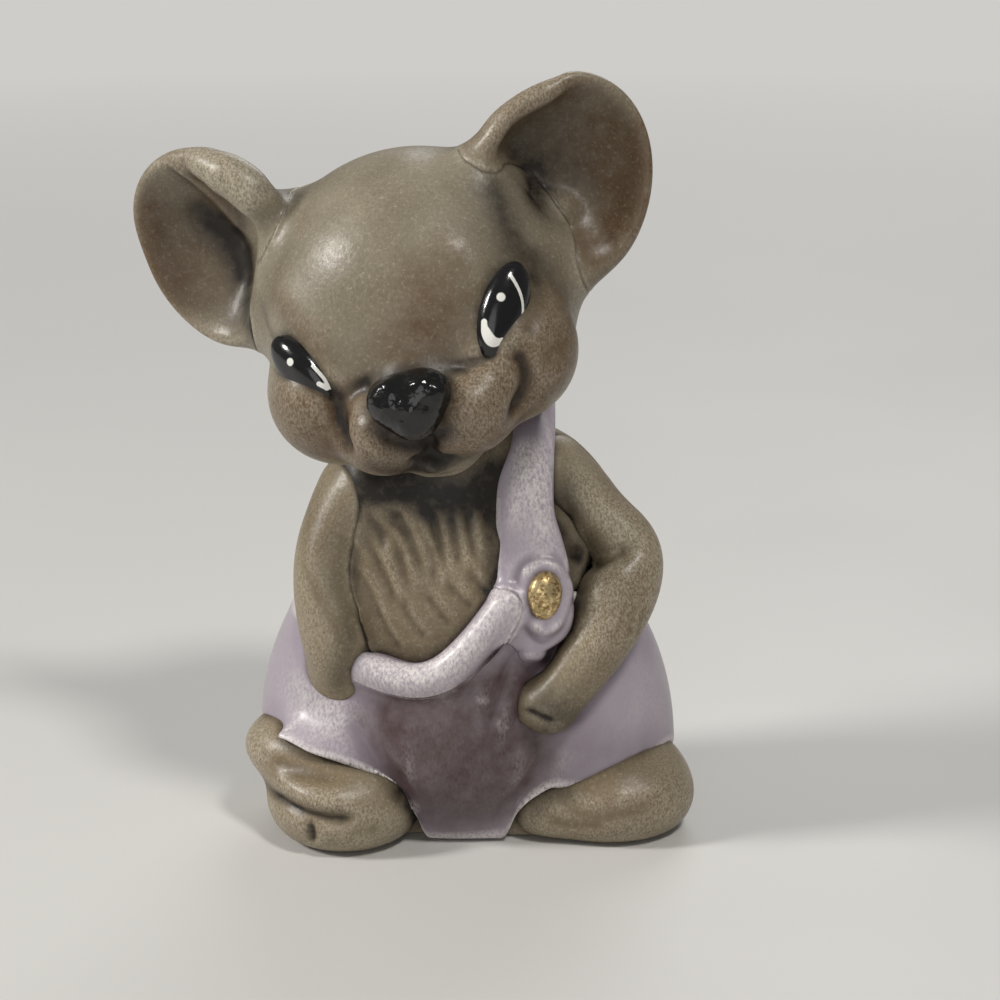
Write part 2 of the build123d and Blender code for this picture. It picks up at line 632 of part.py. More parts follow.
# Tail, curled to the left on the back of the overalls
tail_route = []
for n, (across, down) in enumerate(TAIL_SHARES):
    thin = n / (len(TAIL_SHARES) - 1)
    radius = TAIL_RADIUS * (1 - thin) + TAIL_TIP_RADIUS * thin
    place = on_trunk(TAIL_X + across * TAIL_SWING, TAIL_UP - down * TAIL_DROP, back=True,
                     outside=CLOTH + radius * TAIL_PROUD_SHARE)
    tail_route.append((place, radius, radius))
with BuildPart() as tail:
    add(limb(tail_route, across=(0, -1, 0)))
    for seat in body_seats:
        add(seat, mode=Mode.SUBTRACT)

pieces = {
    "head": head,
    "trunk": trunk,
    "romper": romper,
    "strap": strap,
    "button": button,
    "bib_hem": bib_hem,
    "nose": nose,
    "arm_left": arm_left,
    "arm_right": arm_right,
    "tail": tail,
    **eyes,
    **ears,
    **feet,
}
os.makedirs("parts", exist_ok=True)
for name, piece in pieces.items():
    piece.part.label = name
    export_step(piece.part, f"parts/{name}.step")
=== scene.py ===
import math

import bmesh
import bpy
import numpy as np
from bpy.props import FloatProperty, FloatVectorProperty, IntProperty, PointerProperty
from mathutils import Matrix, Vector
from mathutils.bvhtree import BVHTree


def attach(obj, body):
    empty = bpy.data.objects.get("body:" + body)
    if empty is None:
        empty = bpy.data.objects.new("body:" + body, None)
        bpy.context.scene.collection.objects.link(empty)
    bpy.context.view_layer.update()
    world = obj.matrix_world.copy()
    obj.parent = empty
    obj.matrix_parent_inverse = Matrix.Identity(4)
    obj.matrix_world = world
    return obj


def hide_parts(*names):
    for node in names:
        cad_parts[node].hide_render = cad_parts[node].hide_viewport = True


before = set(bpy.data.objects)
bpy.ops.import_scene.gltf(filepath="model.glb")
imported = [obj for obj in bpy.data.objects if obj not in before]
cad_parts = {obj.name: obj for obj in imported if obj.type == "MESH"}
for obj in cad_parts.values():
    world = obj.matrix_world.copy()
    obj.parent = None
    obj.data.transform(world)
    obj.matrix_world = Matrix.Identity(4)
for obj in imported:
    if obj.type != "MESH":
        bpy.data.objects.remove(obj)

bl_info = {
    "name": "Bisque mouse in overalls",
    "version": (1, 0, 0),
    "blender": (4, 5, 0),
    "location": "3D View > Sidebar > Mouse",
    "description": "Shapes and paints a small bisque mouse that stands in one-strap overalls",
    "category": "Object",
}

# The clay is shaped in millimetres, the mouse facing -Y on the table z = 0, and a finished
# piece is written out in metres. Marks on the front are placed on the maker's drawing, which
# is 1000 wide and high and is seen from the place below.
MM = 0.001
DRAWING = 2600.0
DRAWING_MIDDLE = 500
SEEN_FROM = np.array((2.6, -185.1, 83.1))
SEEN_DOWN = math.radians(17.5)
AHEAD = np.array((0.0, math.cos(SEEN_DOWN), -math.sin(SEEN_DOWN)))
RIGHT = np.array((1.0, 0.0, 0.0))
UPWARD = np.array((0.0, math.sin(SEEN_DOWN), math.cos(SEEN_DOWN)))

# A lump is a centre and three half sizes. Lumps run together with a softness, the floor too.
SOFT = 0.55
FLOOR_SOFT = 0.25
FARTHEST = 35.0
HALVINGS = 26
HEAD_AT = np.array((-3.3, -0.8, 40.0))
HEAD_TILT = math.radians(16.5)
HEAD_TURN = math.radians(6.0)
HEAD = [
    ((0, 0, 0), (11.6, 11.0, 11.3)),
    ((0, -8.2, -3.4), (3.4, 4.4, 3.0)),
    ((0, -6.6, -7.6), (3.6, 3.6, 3.6)),
    ((-6.2, -6.0, -3.5), (5.1, 5.1, 5.1)),
    ((6.2, -6.0, -3.5), (5.1, 5.1, 5.1)),
    ((-3.0, -9.2, -6.0), (3.5, 4.0, 3.3)),
    ((3.0, -9.2, -6.0), (3.5, 4.0, 3.3)),
]
NOSE = [
    ((0, -12.9, -4.9), (1.5, 1.7, 1.5)),
    ((-1.15, -12.9, -3.35), (1.8, 1.7, 1.7)),
    ((1.15, -12.9, -3.35), (1.8, 1.7, 1.7)),
]
TRUNK = [
    ((-0.4, 0, 8.5), (9.0, 8.3, 11.5)),
    ((-5.6, 0.6, 6.5), (9.2, 7.2, 13.2)),
    ((5.8, 0.6, 5.0), (9.3, 7.2, 14.4)),
    ((-0.8, 0, 18.5), (10.5, 7.6, 9.5)),
    ((5.4, 1.0, 22.5), (5.6, 4.4, 7.0)),
    ((-1.4, 0, 26.0), (8.4, 5.6, 6.0)),
    ((0.5, 0, 29.0), (5.4, 4.8, 5.0)),
]
# Where the upright core of the trunk stands, across and back
CORE = (-0.4, 0)
FOOT_RIGHT = [
    ((-9.0, -4.6, 2.9), (5.9, 6.0, 4.2)),
    ((-11.2, -2.2, 6.2), (5.5, 4.9, 3.0)),
]
FOOT_LEFT = [
    ((11.0, -3.2, 2.5), (6.2, 5.4, 3.9)),
    ((6.5, -2.8, 2.5), (4.2, 4.8, 3.4)),
    ((12.6, -1.8, 3.6), (3.8, 4.6, 3.2)),
]
# Arms: each station is a place, a half width and a half thickness
ARM_RIGHT = [
    ((-6.6, -0.8, 26.9), 2.4, 2.1), ((-9.1, -1.8, 24.6), 2.6, 2.2), ((-10.4, -3.4, 20.4), 2.6, 2.2),
    ((-9.8, -5.4, 15.8), 2.2, 2.2), ((-9.0, -4.4, 12.8), 1.8, 1.8),
]
ARM_LEFT = [
    ((6.6, -1.4, 27.8), 2.5, 1.8), ((10.0, -2.0, 24.6), 2.5, 1.8), ((12.1, -3.4, 21.4), 2.5, 2.5),
    ((10.6, -5.8, 17.2), 2.5, 2.5), ((8.2, -7.4, 13.6), 1.6, 2.0), ((6.2, -7.8, 11.2), 1.6, 2.0),
]
# Along the depth of an ear: how far back, how large and how far shifted to the root, as shares
# of its depth, its half width and half height, and its shift
EAR_RINGS = [
    (1.10, 0.00, 2.40), (1.05, 0.32, 1.90), (0.92, 0.48, 1.25), (0.75, 0.58, 0.78),
    (0.50, 0.76, 0.48), (0.30, 0.92, 0.25), (0.12, 1.00, 0.08), (0.00, 0.92, 0.00),
    (0.10, 0.79, 0.08), (0.25, 0.67, 0.25), (0.40, 0.48, 0.42), (0.50, 0.24, 0.54),
    (0.52, 0.00, 0.54),
]
EAR_DEPTH, EAR_WIDE, EAR_HIGH, EAR_SHIFT = 6.2, 6.5, 7.6, (2.8, 1.2)
# Upper edge of the overalls in front and behind, and the leg edges: across and up
EDGE_FRONT = [(-13.5, 17.2), (-7.5, 14.8), (-2.5, 14.1), (2.6, 19.2), (6.4, 20.0), (13.5, 17.2)]
EDGE_BACK = [(-13.5, 17.2), (-0.4, 20.5), (13.5, 17.2)]
LEG_RIGHT = [(-13.5, 7.3), (-9.0, 5.8), (-6.1, 3.3), (-3.2, 0.8)]
LEG_LEFT = [(3.4, 0.8), (5.45, 3.2), (7.5, 4.0), (13.5, 4.8)]
# On the drawing: the leg edges and how far across they show, the foot of the belly panel
# between them, and the hem of the bib
LEG_LINE_RIGHT = [
    (263, 722), (275, 740), (307, 757), (353, 767), (380, 779), (407, 801), (420, 823),
]
LEG_LINE_LEFT = [
    (510, 825), (530, 804), (553, 789), (580, 793), (623, 778), (657, 754), (672, 741),
]
LEGS_SHOWN = (274, 671)
PANEL = (419, 511)
HEM_LINE = [(347, 661), (379, 671), (407, 678), (433, 676), (457, 662), (482, 636), (503, 606)]

# Marks are worked in one after another. Each has a kind, a width, an amount and the places of
# its line on the drawing, across and down in turn. A press is a groove, or a ridge where its
# amount is negative, and the other kinds are layers of paint, some of them partly painted shade
# and painted highlights. Marks fade towards the ends of the line, unless they are even or are
# dots. Those behind are met from straight behind, and their places are across and up, in
# millimetres.
HEAD_MARKS = [
    # Eye sockets, the creases round the muzzle and the mouth
    ("press", 0.5, 0.3, 272, 336, 290, 354, 312, 376, 340, 396),
    ("press", 0.55, 0.75, 330, 388, 336, 402, 339, 420, 343, 440, 352, 455),
    ("press", 0.45, 0.3, 345, 396, 356, 388, 368, 385),
    ("press", 0.45, 0.3, 372, 430, 392, 442, 415, 446, 436, 437, 454, 422),
    ("press", 0.3, 0.8, 426, 438, 431, 450, 433, 460),
    ("press", 0.3, 0.45, 408, 461, 420, 459, 432, 458, 444, 458, 456, 455),
    ("press", 0.4, 0.4, 413, 477, 432, 480, 452, 473),
    ("press", 0.6, 0.2, 530, 266, 538, 290, 535, 315, 524, 345),
    ("press", 0.5, 0.6, 512, 352, 522, 362, 526, 380, 520, 400, 506, 420),
    ("press", 0.4, 0.3, 460, 368, 478, 362, 500, 352),
    ("press", 0.8, 0.15, 543, 362, 552, 352, 566, 350),
    # Fuller brow, cheeks, pads and lower lip
    ("press", 1.3, -0.35, 276, 290, 300, 318, 325, 350),
    ("press", 1.2, -0.25, 452, 245, 472, 262, 482, 292),
    ("press", 0.5, -0.4, 432, 467),
    ("press", 1.3, -0.5, 468, 400, 490, 392),
    ("press", 1.2, -0.25, 470, 432),
    ("press", 1.1, -0.4, 365, 428, 388, 448),
    ("press", 1.6, -0.3, 296, 412),
    ("press", 1.6, -0.15, 553, 372),
    # Warm paint on the brow, cheeks and muzzle
    ("warm", 0.9, 0.75, 272, 285, 300, 325, 325, 352),
    ("warm", 1.2, 0.35, 415, 260, 420, 290, 430, 320),
    ("warm", 1.0, 0.5, 445, 235, 460, 255),
    ("warm dots", 1.9, 0.95, 300, 415, 285, 430, 320, 440, 375, 440, 405, 455, 350, 420, 480, 410,
     500, 425, 470, 440, 505, 395),
    ("warm dots", 2.2, 0.7, 560, 345, 545, 375, 565, 310),
    ("warm dots", 2.2, 0.4, 445, 300, 425, 330, 400, 345),
    # Dark wash and painted shade round the nose and mouth, under the muzzle, in the creases and at
    # the roots of the ears
    ("wash even", 0.4, 0.4, 366, 378, 400, 368, 432, 364, 458, 372),
    ("wash even", 0.4, 0.6, 374, 430, 398, 444, 426, 448, 452, 430),
    ("wash even", 0.45, 0.8, 425, 443, 430, 458),
    ("wash", 0.65, 1.0, 410, 462, 432, 467, 466, 452),
    ("wash", 0.7, 0.7, 352, 462, 400, 474, 440, 484, 480, 462, 505, 440),
    ("wash", 0.35, 0.4, 262, 290, 272, 335, 300, 372, 340, 402),
    ("wash", 0.4, 0.55, 331, 390, 337, 410, 340, 440, 350, 456),
    ("wash", 0.4, 0.45, 514, 354, 525, 372, 520, 398, 500, 425),
    ("wash", 1.0, 0.7, 470, 165, 500, 210, 520, 250, 560, 275),
    ("wash", 1.1, 0.9, 508, 160, 528, 186, 534, 215),
    ("wash", 0.8, 0.35, 300, 178, 272, 215, 257, 260, 262, 320),
    # Painted highlight on the crest of the right muzzle pad
    ("worn", 1.1, 1.0, 470, 392, 480, 372, 500, 366),
]
EAR_RIGHT_MARKS = [
    # The upper rim of the right ear is rolled forwards over a deep hollow
    ("press", 1.1, -0.7, 192, 162, 222, 178, 250, 200),
    ("press", 1.1, -0.75, 215, 168, 245, 182, 262, 206),
    ("press", 0.5, -0.45, 168, 160, 190, 172, 213, 192, 235, 216, 253, 243),
    ("press", 0.8, 0.45, 190, 204, 212, 224, 240, 250),
    ("press", 0.9, 0.35, 232, 240, 243, 262, 247, 290),
    ("warm", 0.9, 0.7, 165, 158, 190, 170, 215, 192, 240, 222),
    ("warm", 0.9, 0.7, 150, 190, 152, 240, 175, 300),
    # Dry brushing and painted highlights along the rims
    ("worn", 1.1, 0.9, 150, 165, 190, 158, 240, 162),
    ("worn", 1.0, 0.6, 190, 320, 225, 340, 250, 335),
    # Dark wash and painted shade in the hollow
    ("wash", 1.2, 1.0, 200, 215, 228, 235, 246, 262),
    ("wash", 1.1, 0.8, 250, 262, 252, 300, 262, 335),
    ("warm", 4.0, 0.75, 185, 265),
]
EAR_LEFT_MARKS = [
    # The rim of the left ear, the hollow by the head and the shelf below it
    ("press", 0.45, -0.45, 484, 158, 504, 124, 532, 104, 575, 82),
    ("press", 0.8, 0.25, 505, 168, 516, 140, 545, 116),
    ("press", 0.8, 0.5, 520, 165, 527, 190, 524, 205),
    ("press", 0.8, -0.75, 520, 222, 545, 212, 575, 208),
    ("press", 1.6, -0.5, 540, 236, 570, 246, 600, 240),
    *(("press", 0.28, 0.07, 548 + 13 * n, 225 + 2 * n, 556 + 10 * n, 262 - 4 * n)
      for n in range(6)),
    ("warm", 1.3, 0.75, 480, 160, 505, 125, 545, 98, 590, 80),
    ("warm", 1.3, 0.75, 560, 245, 590, 255, 610, 235),
    ("warm", 1.3, 0.75, 640, 130, 645, 180, 625, 235),
    ("warm", 1.3, 0.75, 600, 130, 610, 170),
    # Dark wash and painted shade in the hollows by the head and under the rim
    ("wash", 1.5, 1.0, 520, 165, 524, 190, 515, 215),
    ("wash", 1.6, 0.35, 548, 110, 560, 150, 575, 190),
    # Painted highlight on the shelf, and dry brushing with painted highlight on the rim
    ("worn", 0.7, 1.0, 525, 212, 545, 204, 565, 202),
    ("worn", 0.8, 0.8, 482, 150, 503, 118, 540, 90, 585, 74),
    ("warm", 4.2, 0.75, 600, 160),
]
# The knobbles of the nose, and the white glint and lower edge of each eye
NOSE_MARKS = [
    ("press", 0.32, -0.16, 385, 385), ("press", 0.32, 0.12, 402, 380),
    ("press", 0.32, -0.14, 420, 383), ("press", 0.32, -0.1, 440, 390),
    ("press", 0.32, 0.14, 395, 400), ("press", 0.32, -0.16, 410, 412),
    ("press", 0.32, 0.13, 428, 405), ("press", 0.32, 0.1, 445, 408),
    ("press", 0.32, -0.1, 402, 425), ("press", 0.32, 0.1, 420, 428),
    ("press", 0.32, 0.12, 380, 400), ("press", 0.32, 0.12, 436, 375),
]
EYE_LEFT_MARKS = [
    ("pale", 0.24, 1.1, 501, 297),
    ("pale even", 0.17, 1.2, 484, 322, 485, 334, 491, 343, 502, 341),
    ("pale even", 0.2, 1.0, 487, 332, 494, 341),
    ("pale even", 0.09, 1.3, 511, 276, 519, 290, 523, 308, 519, 328, 509, 343),
]
EYE_RIGHT_MARKS = [
    ("pale", 0.22, 1.1, 290, 362),
    ("pale even", 0.1, 1.3, 313, 366, 322, 376, 331, 387),
    ("pale even", 0.14, 1.1, 319, 384, 327, 388),
]
# Strokes of fur on the chest, three places each
FUR = [
    (362, 500, 378, 528, 384, 556), (378, 520, 398, 552, 408, 585), (392, 508, 412, 540, 424, 575),
    (366, 540, 384, 572, 396, 606), (410, 520, 428, 550, 436, 588), (432, 515, 440, 548, 444, 572),
    (352, 560, 370, 590, 380, 622), (450, 510, 456, 540, 460, 566), (468, 505, 470, 534, 476, 560),
    (400, 596, 412, 622, 430, 640), (424, 590, 440, 612, 452, 626), (376, 604, 388, 632, 402, 650),
    (355, 600, 362, 632, 372, 652), (446, 580, 462, 598, 474, 606), (470, 570, 480, 585, 488, 592),
    (346, 520, 356, 545, 364, 566),
]
TRUNK_MARKS = [
    ("press", 0.6, 0.2, 388, 512, 402, 536, 409, 560),
    ("press", 0.6, 0.15, 420, 505, 436, 530, 440, 556),
    ("press behind", 0.9, 0.3, -1.2, 28, -0.9, 25, -0.6, 21),
    # Painted shade under the head, along the strap and beside the arm, with the dark wash
    ("wash even", 1.0, 1.3, 345, 495, 390, 488, 430, 496, 470, 496, 495, 478),
    ("wash even", 0.6, 0.7, 492, 480, 493, 540, 494, 590),
    ("wash", 0.55, 0.4, 345, 500, 349, 560, 347, 620),
    ("warm", 5.0, 0.4, 400, 600),
]
ARM_RIGHT_MARKS = [
    *(("press", 0.22, 0.06, 303 + 6 * n, 560 + 9 * n, 310 + 5 * n, 590 + 9 * n) for n in range(7)),
    ("warm", 1.2, 0.5, 310, 500, 312, 540),
    # Dark wash and painted shade in the crease beside the body and at the pocket
    ("wash", 0.6, 0.4, 336, 690, 345, 660, 350, 600),
]
ARM_LEFT_MARKS = [
    ("press", 0.6, 0.2, 566, 440, 562, 470, 575, 520, 600, 545),
    ("press", 0.5, 0.5, 570, 592, 586, 570, 610, 556, 638, 547),
    ("press", 0.9, -0.25, 588, 600, 602, 584, 626, 572),
    # Between the fingers of the paw, with dark wash and painted shade in the gaps
    ("press", 0.2, 0.22, 522, 722, 536, 727, 549, 732),
    ("wash", 0.22, 0.5, 522, 722, 536, 727, 549, 732),
    ("press", 0.2, 0.22, 524, 708, 540, 716, 556, 722),
    ("wash", 0.22, 0.5, 524, 708, 540, 716, 556, 722),
    *(("press", 0.22, 0.07, 592 + 9 * n, 585 + 3 * n, 582 + 9 * n, 618 + 4 * n) for n in range(7)),
    ("warm", 1.5, 0.6, 640, 560, 625, 620, 590, 690),
    ("warm", 1.2, 0.35, 600, 480, 640, 520),
    # Painted shade on the tip of the paw and between the arm and the body, with the dark wash; dry
    # brushing and painted highlights on the forearm and upper arm
    ("wash", 1.5, 0.6, 536, 700, 556, 716, 575, 722),
    ("worn", 1.9, 1.0, 585, 640, 600, 600, 612, 585, 635, 575),
    ("worn", 1.4, 0.6, 575, 470, 600, 500, 630, 530),
    ("wash", 0.8, 0.55, 566, 460, 572, 520, 590, 560),
]
FOOT_RIGHT_MARKS = [
    ("press", 0.45, 0.55, 262, 784, 284, 800, 309, 813, 336, 819, 358, 818),
    ("press", 0.8, -0.3, 262, 772, 290, 790, 320, 800, 352, 802),
    ("press", 0.22, 0.4, 309, 822, 312, 834, 311, 842),
    ("press", 0.5, 0.12, 270, 756, 300, 772, 345, 780),
    ("press", 0.5, 0.14, 330, 828, 356, 832, 384, 828),
    # Dark wash and painted shade in the creases, the notch and under the belly
    ("wash", 0.35, 0.55, 264, 786, 300, 810, 356, 819),
    ("wash", 0.25, 0.8, 309, 824, 312, 838),
    ("wash", 0.5, 0.6, 385, 786, 408, 808, 418, 828),
    ("warm dots", 2.2, 0.35, 300, 800, 280, 760),
]
FOOT_LEFT_MARKS = [
    ("press", 0.5, 0.12, 560, 800, 590, 815, 630, 812, 660, 790),
    ("press", 0.45, 0.15, 545, 818, 575, 826, 610, 826),
    ("press", 0.6, -0.15, 612, 796, 640, 800, 668, 784),
    ("press", 0.6, -0.15, 572, 800, 600, 806),
    # Dark wash and painted shade where the foot meets the leg edge
    ("wash", 0.5, 0.5, 528, 820, 552, 796, 582, 798),
    ("warm dots", 2.2, 0.35, 600, 812, 650, 785),
]
ROMPER_MARKS = [
    # Folds: the belly panel stands out between two creases, pleats run down from the tab
    ("press", 0.7, 0.35, 345, 700, 366, 740, 392, 780, 425, 830),
    ("press", 1.2, -0.25, 330, 712, 352, 752, 378, 778),
    ("press", 0.6, 0.25, 556, 744, 540, 772, 518, 800, 500, 828),
    ("press", 0.9, 0.2, 560, 650, 572, 690, 580, 720),
    ("press", 0.55, 0.3, 497, 620, 486, 650, 470, 676, 455, 700),
    ("press", 0.5, 0.22, 512, 655, 500, 690, 488, 730),
    ("press", 0.45, 0.2, 530, 676, 524, 705, 508, 750),
    ("press", 0.7, -0.25, 505, 640, 492, 676, 478, 712),
    ("press", 0.6, -0.2, 520, 668, 512, 700, 498, 742),
    ("press", 3.0, -0.35, 430, 770),
    ("press behind", 0.5, 0.25, -0.5, 18, -0.4, 13, -0.4, 10),
    ("press behind", 1.0, 0.2, -7, 15, -6, 11, -8, 8),
    ("press behind", 1.0, 0.2, 6, 16, 7, 12, 9, 9),
    ("press", 0.6, 0.2, 352, 690, 400, 700, 440, 692, 480, 660),
    # Rose brown on the belly panel, partly painted shade where the belly turns down away from the
    # lamps
    ("warm", 3.4, 0.75, 430, 740),
    ("warm", 3.2, 0.9, 480, 720),
    ("warm", 3.0, 0.9, 450, 790),
    ("warm", 2.6, 0.6, 400, 720),
    ("warm", 2.8, 0.8, 520, 770),
    ("warm", 2.0, 0.6, 520, 690),
    # Dark wash and painted shade under the belly, in the crease and by the left leg
    ("wash", 1.5, 0.6, 410, 790, 440, 812, 480, 812, 505, 800),
    ("wash", 0.5, 0.35, 352, 700, 384, 768, 422, 826),
    ("wash", 1.4, 0.25, 600, 745, 630, 758, 655, 740),
    # Painted highlight on the left hip
    ("worn", 1.6, 0.6, 300, 690, 318, 706, 330, 716),
]
# Painted highlight along the ridge of the strap
STRAP_HIGHLIGHT = [
    ("worn", 0.8, 0.8, 530, 432, 536, 470, 541, 515, 548, 555),
]
STRAP_MARKS = [
    ("press", 0.35, -0.22, 526, 575, 532, 566, 547, 563, 562, 572),
    ("press", 0.35, -0.25, 530, 622, 547, 631, 564, 620),
    ("press even", 0.3, 0.18, 517, 600, 520, 570, 545, 556, 570, 572, 572, 612, 548, 640, 524, 628),
    ("press", 0.5, -0.12, 503, 605, 514, 640, 530, 660),
    # A painted highlight down the upper strap
    ("worn", 0.5, 0.7, 520, 430, 519, 480, 517, 530),
    ("pale", 0.22, 0.6, 498, 480, 497, 540, 498, 590),
    ("pale", 0.2, 0.6, 545, 415, 553, 460, 565, 545, 573, 600),
    ("pale", 0.4, 0.6, 540, 555, 546, 549),
]
# Painted highlight along the crest of the hem
HEM_MARKS = [
    ("worn", 0.4, 0.8, 365, 662, 400, 671, 436, 668, 470, 642),
]
BUTTON_MARKS = [
    ("worn dots", 0.3, 0.6, 540, 590, 552, 584, 546, 604, 557, 600, 538, 606),
]

# The wash layer holds dark wash and painted shade, the brushed layer dry brushing and painted
# highlights, the warm layer warm paint and, on the belly, painted shade; pale is pale paint
LAYERS = ("wash", "worn", "warm", "pale")
CLAY = {}


def turned(axis, angle):
    c, s = math.cos(angle), math.sin(angle)
    if axis == "Y":
        return np.array(((c, 0, s), (0, 1, 0), (-s, 0, c)))
    return np.array(((c, -s, 0), (s, c, 0), (0, 0, 1)))


HEAD_AXES = turned("Y", -HEAD_TILT) @ turned("Z", -HEAD_TURN)


def from_head(points):
    return np.asarray(points, float) @ HEAD_AXES.T + HEAD_AT


def unit(ways):
    """Directions, or one direction, at length one."""
    return ways / np.linalg.norm(ways, axis=-1, keepdims=True)


def through(points, places):
    """Points on a smooth line through the given points, at places from 0 to 1 along it."""
    points = np.asarray(points, float)
    spans = len(points) - 1
    system = np.diag([2.0] + [4.0] * (spans - 1) + [2.0])
    system += np.diag(np.ones(spans), 1) + np.diag(np.ones(spans), -1)
    rises = np.vstack([points[1] - points[0], points[2:] - points[:-2], points[-1] - points[-2]])
    slopes = np.linalg.solve(system, 3 * rises)
    along = np.clip(np.asarray(places, float), 0, 1) * spans
    first = np.minimum(along.astype(int), spans - 1)
    t = (along - first)[:, None]
    start, end = points[first], points[first + 1]
    return (start * (1 + 2 * t) * (1 - t) ** 2 + end * t * t * (3 - 2 * t)
            + slopes[first] * t * (1 - t) ** 2 - slopes[first + 1] * t * t * (1 - t))


def height_of(edge, across):
    """How high a smooth edge runs at places across the figure."""
    line = through(edge, np.linspace(0, 1, 200))
    return np.interp(across, line[:, 0], line[:, 1])


def sink(points, lumps, floor=False):
    """How deep points lie in the blended lumps, in millimetres, negative outside."""
    total = np.zeros(len(points))
    for centre, halves in lumps:
        away = np.sqrt((((points - np.array(centre)) / np.array(halves)) ** 2).sum(1))
        total += np.exp(np.clip((1 - away) * min(halves) / SOFT, -300, 300))
    deep = SOFT * np.log(np.maximum(total, 1e-120))
    if floor:
        ends = (np.exp(np.clip(-way / FLOOR_SOFT, -200, 200)) for way in (deep, points[:, 2]))
        deep = -FLOOR_SOFT * np.log(sum(ends))
    return deep


def skin_out(starts, ways, lumps, outside=0.0, floor=False):
    """Where rays from inside the lumps leave the skin that lies a wall outside them."""
    near = np.zeros(len(ways))
    far = np.full(len(ways), FARTHEST)
    for _ in range(HALVINGS):
        middle = (near + far) / 2
        inside = sink(starts + middle[:, None] * ways, lumps, floor) > -outside
        near = np.where(inside, middle, near)
        far = np.where(inside, far, middle)
    return starts + near[:, None] * ways


def drawn(points):
    """Where points show on the drawing."""
    offset = points - SEEN_FROM
    scale = DRAWING / (offset @ AHEAD)
    return DRAWING_MIDDLE + scale * (offset @ RIGHT), DRAWING_MIDDLE - scale * (offset @ UPWARD)


def sight(u, v):
    """The direction in which a place on the drawing is seen."""
    return unit(AHEAD + RIGHT * (u - DRAWING_MIDDLE) / DRAWING
                - UPWARD * (v - DRAWING_MIDDLE) / DRAWING)


def met(u, v, outside):
    """Where a place on the drawing meets the skin that lies a wall outside the trunk."""
    clear_of_all, steps, least_step, share_of_gap = 155, 40, 0.02, 0.6
    way = sight(u, v)
    spot = SEEN_FROM + way * clear_of_all
    for _ in range(steps):
        gap = -sink(spot[None], TRUNK)[0] - outside
        if gap < 0:
            break
        spot = spot + way * max(least_step, share_of_gap * gap)
    return tuple(spot)


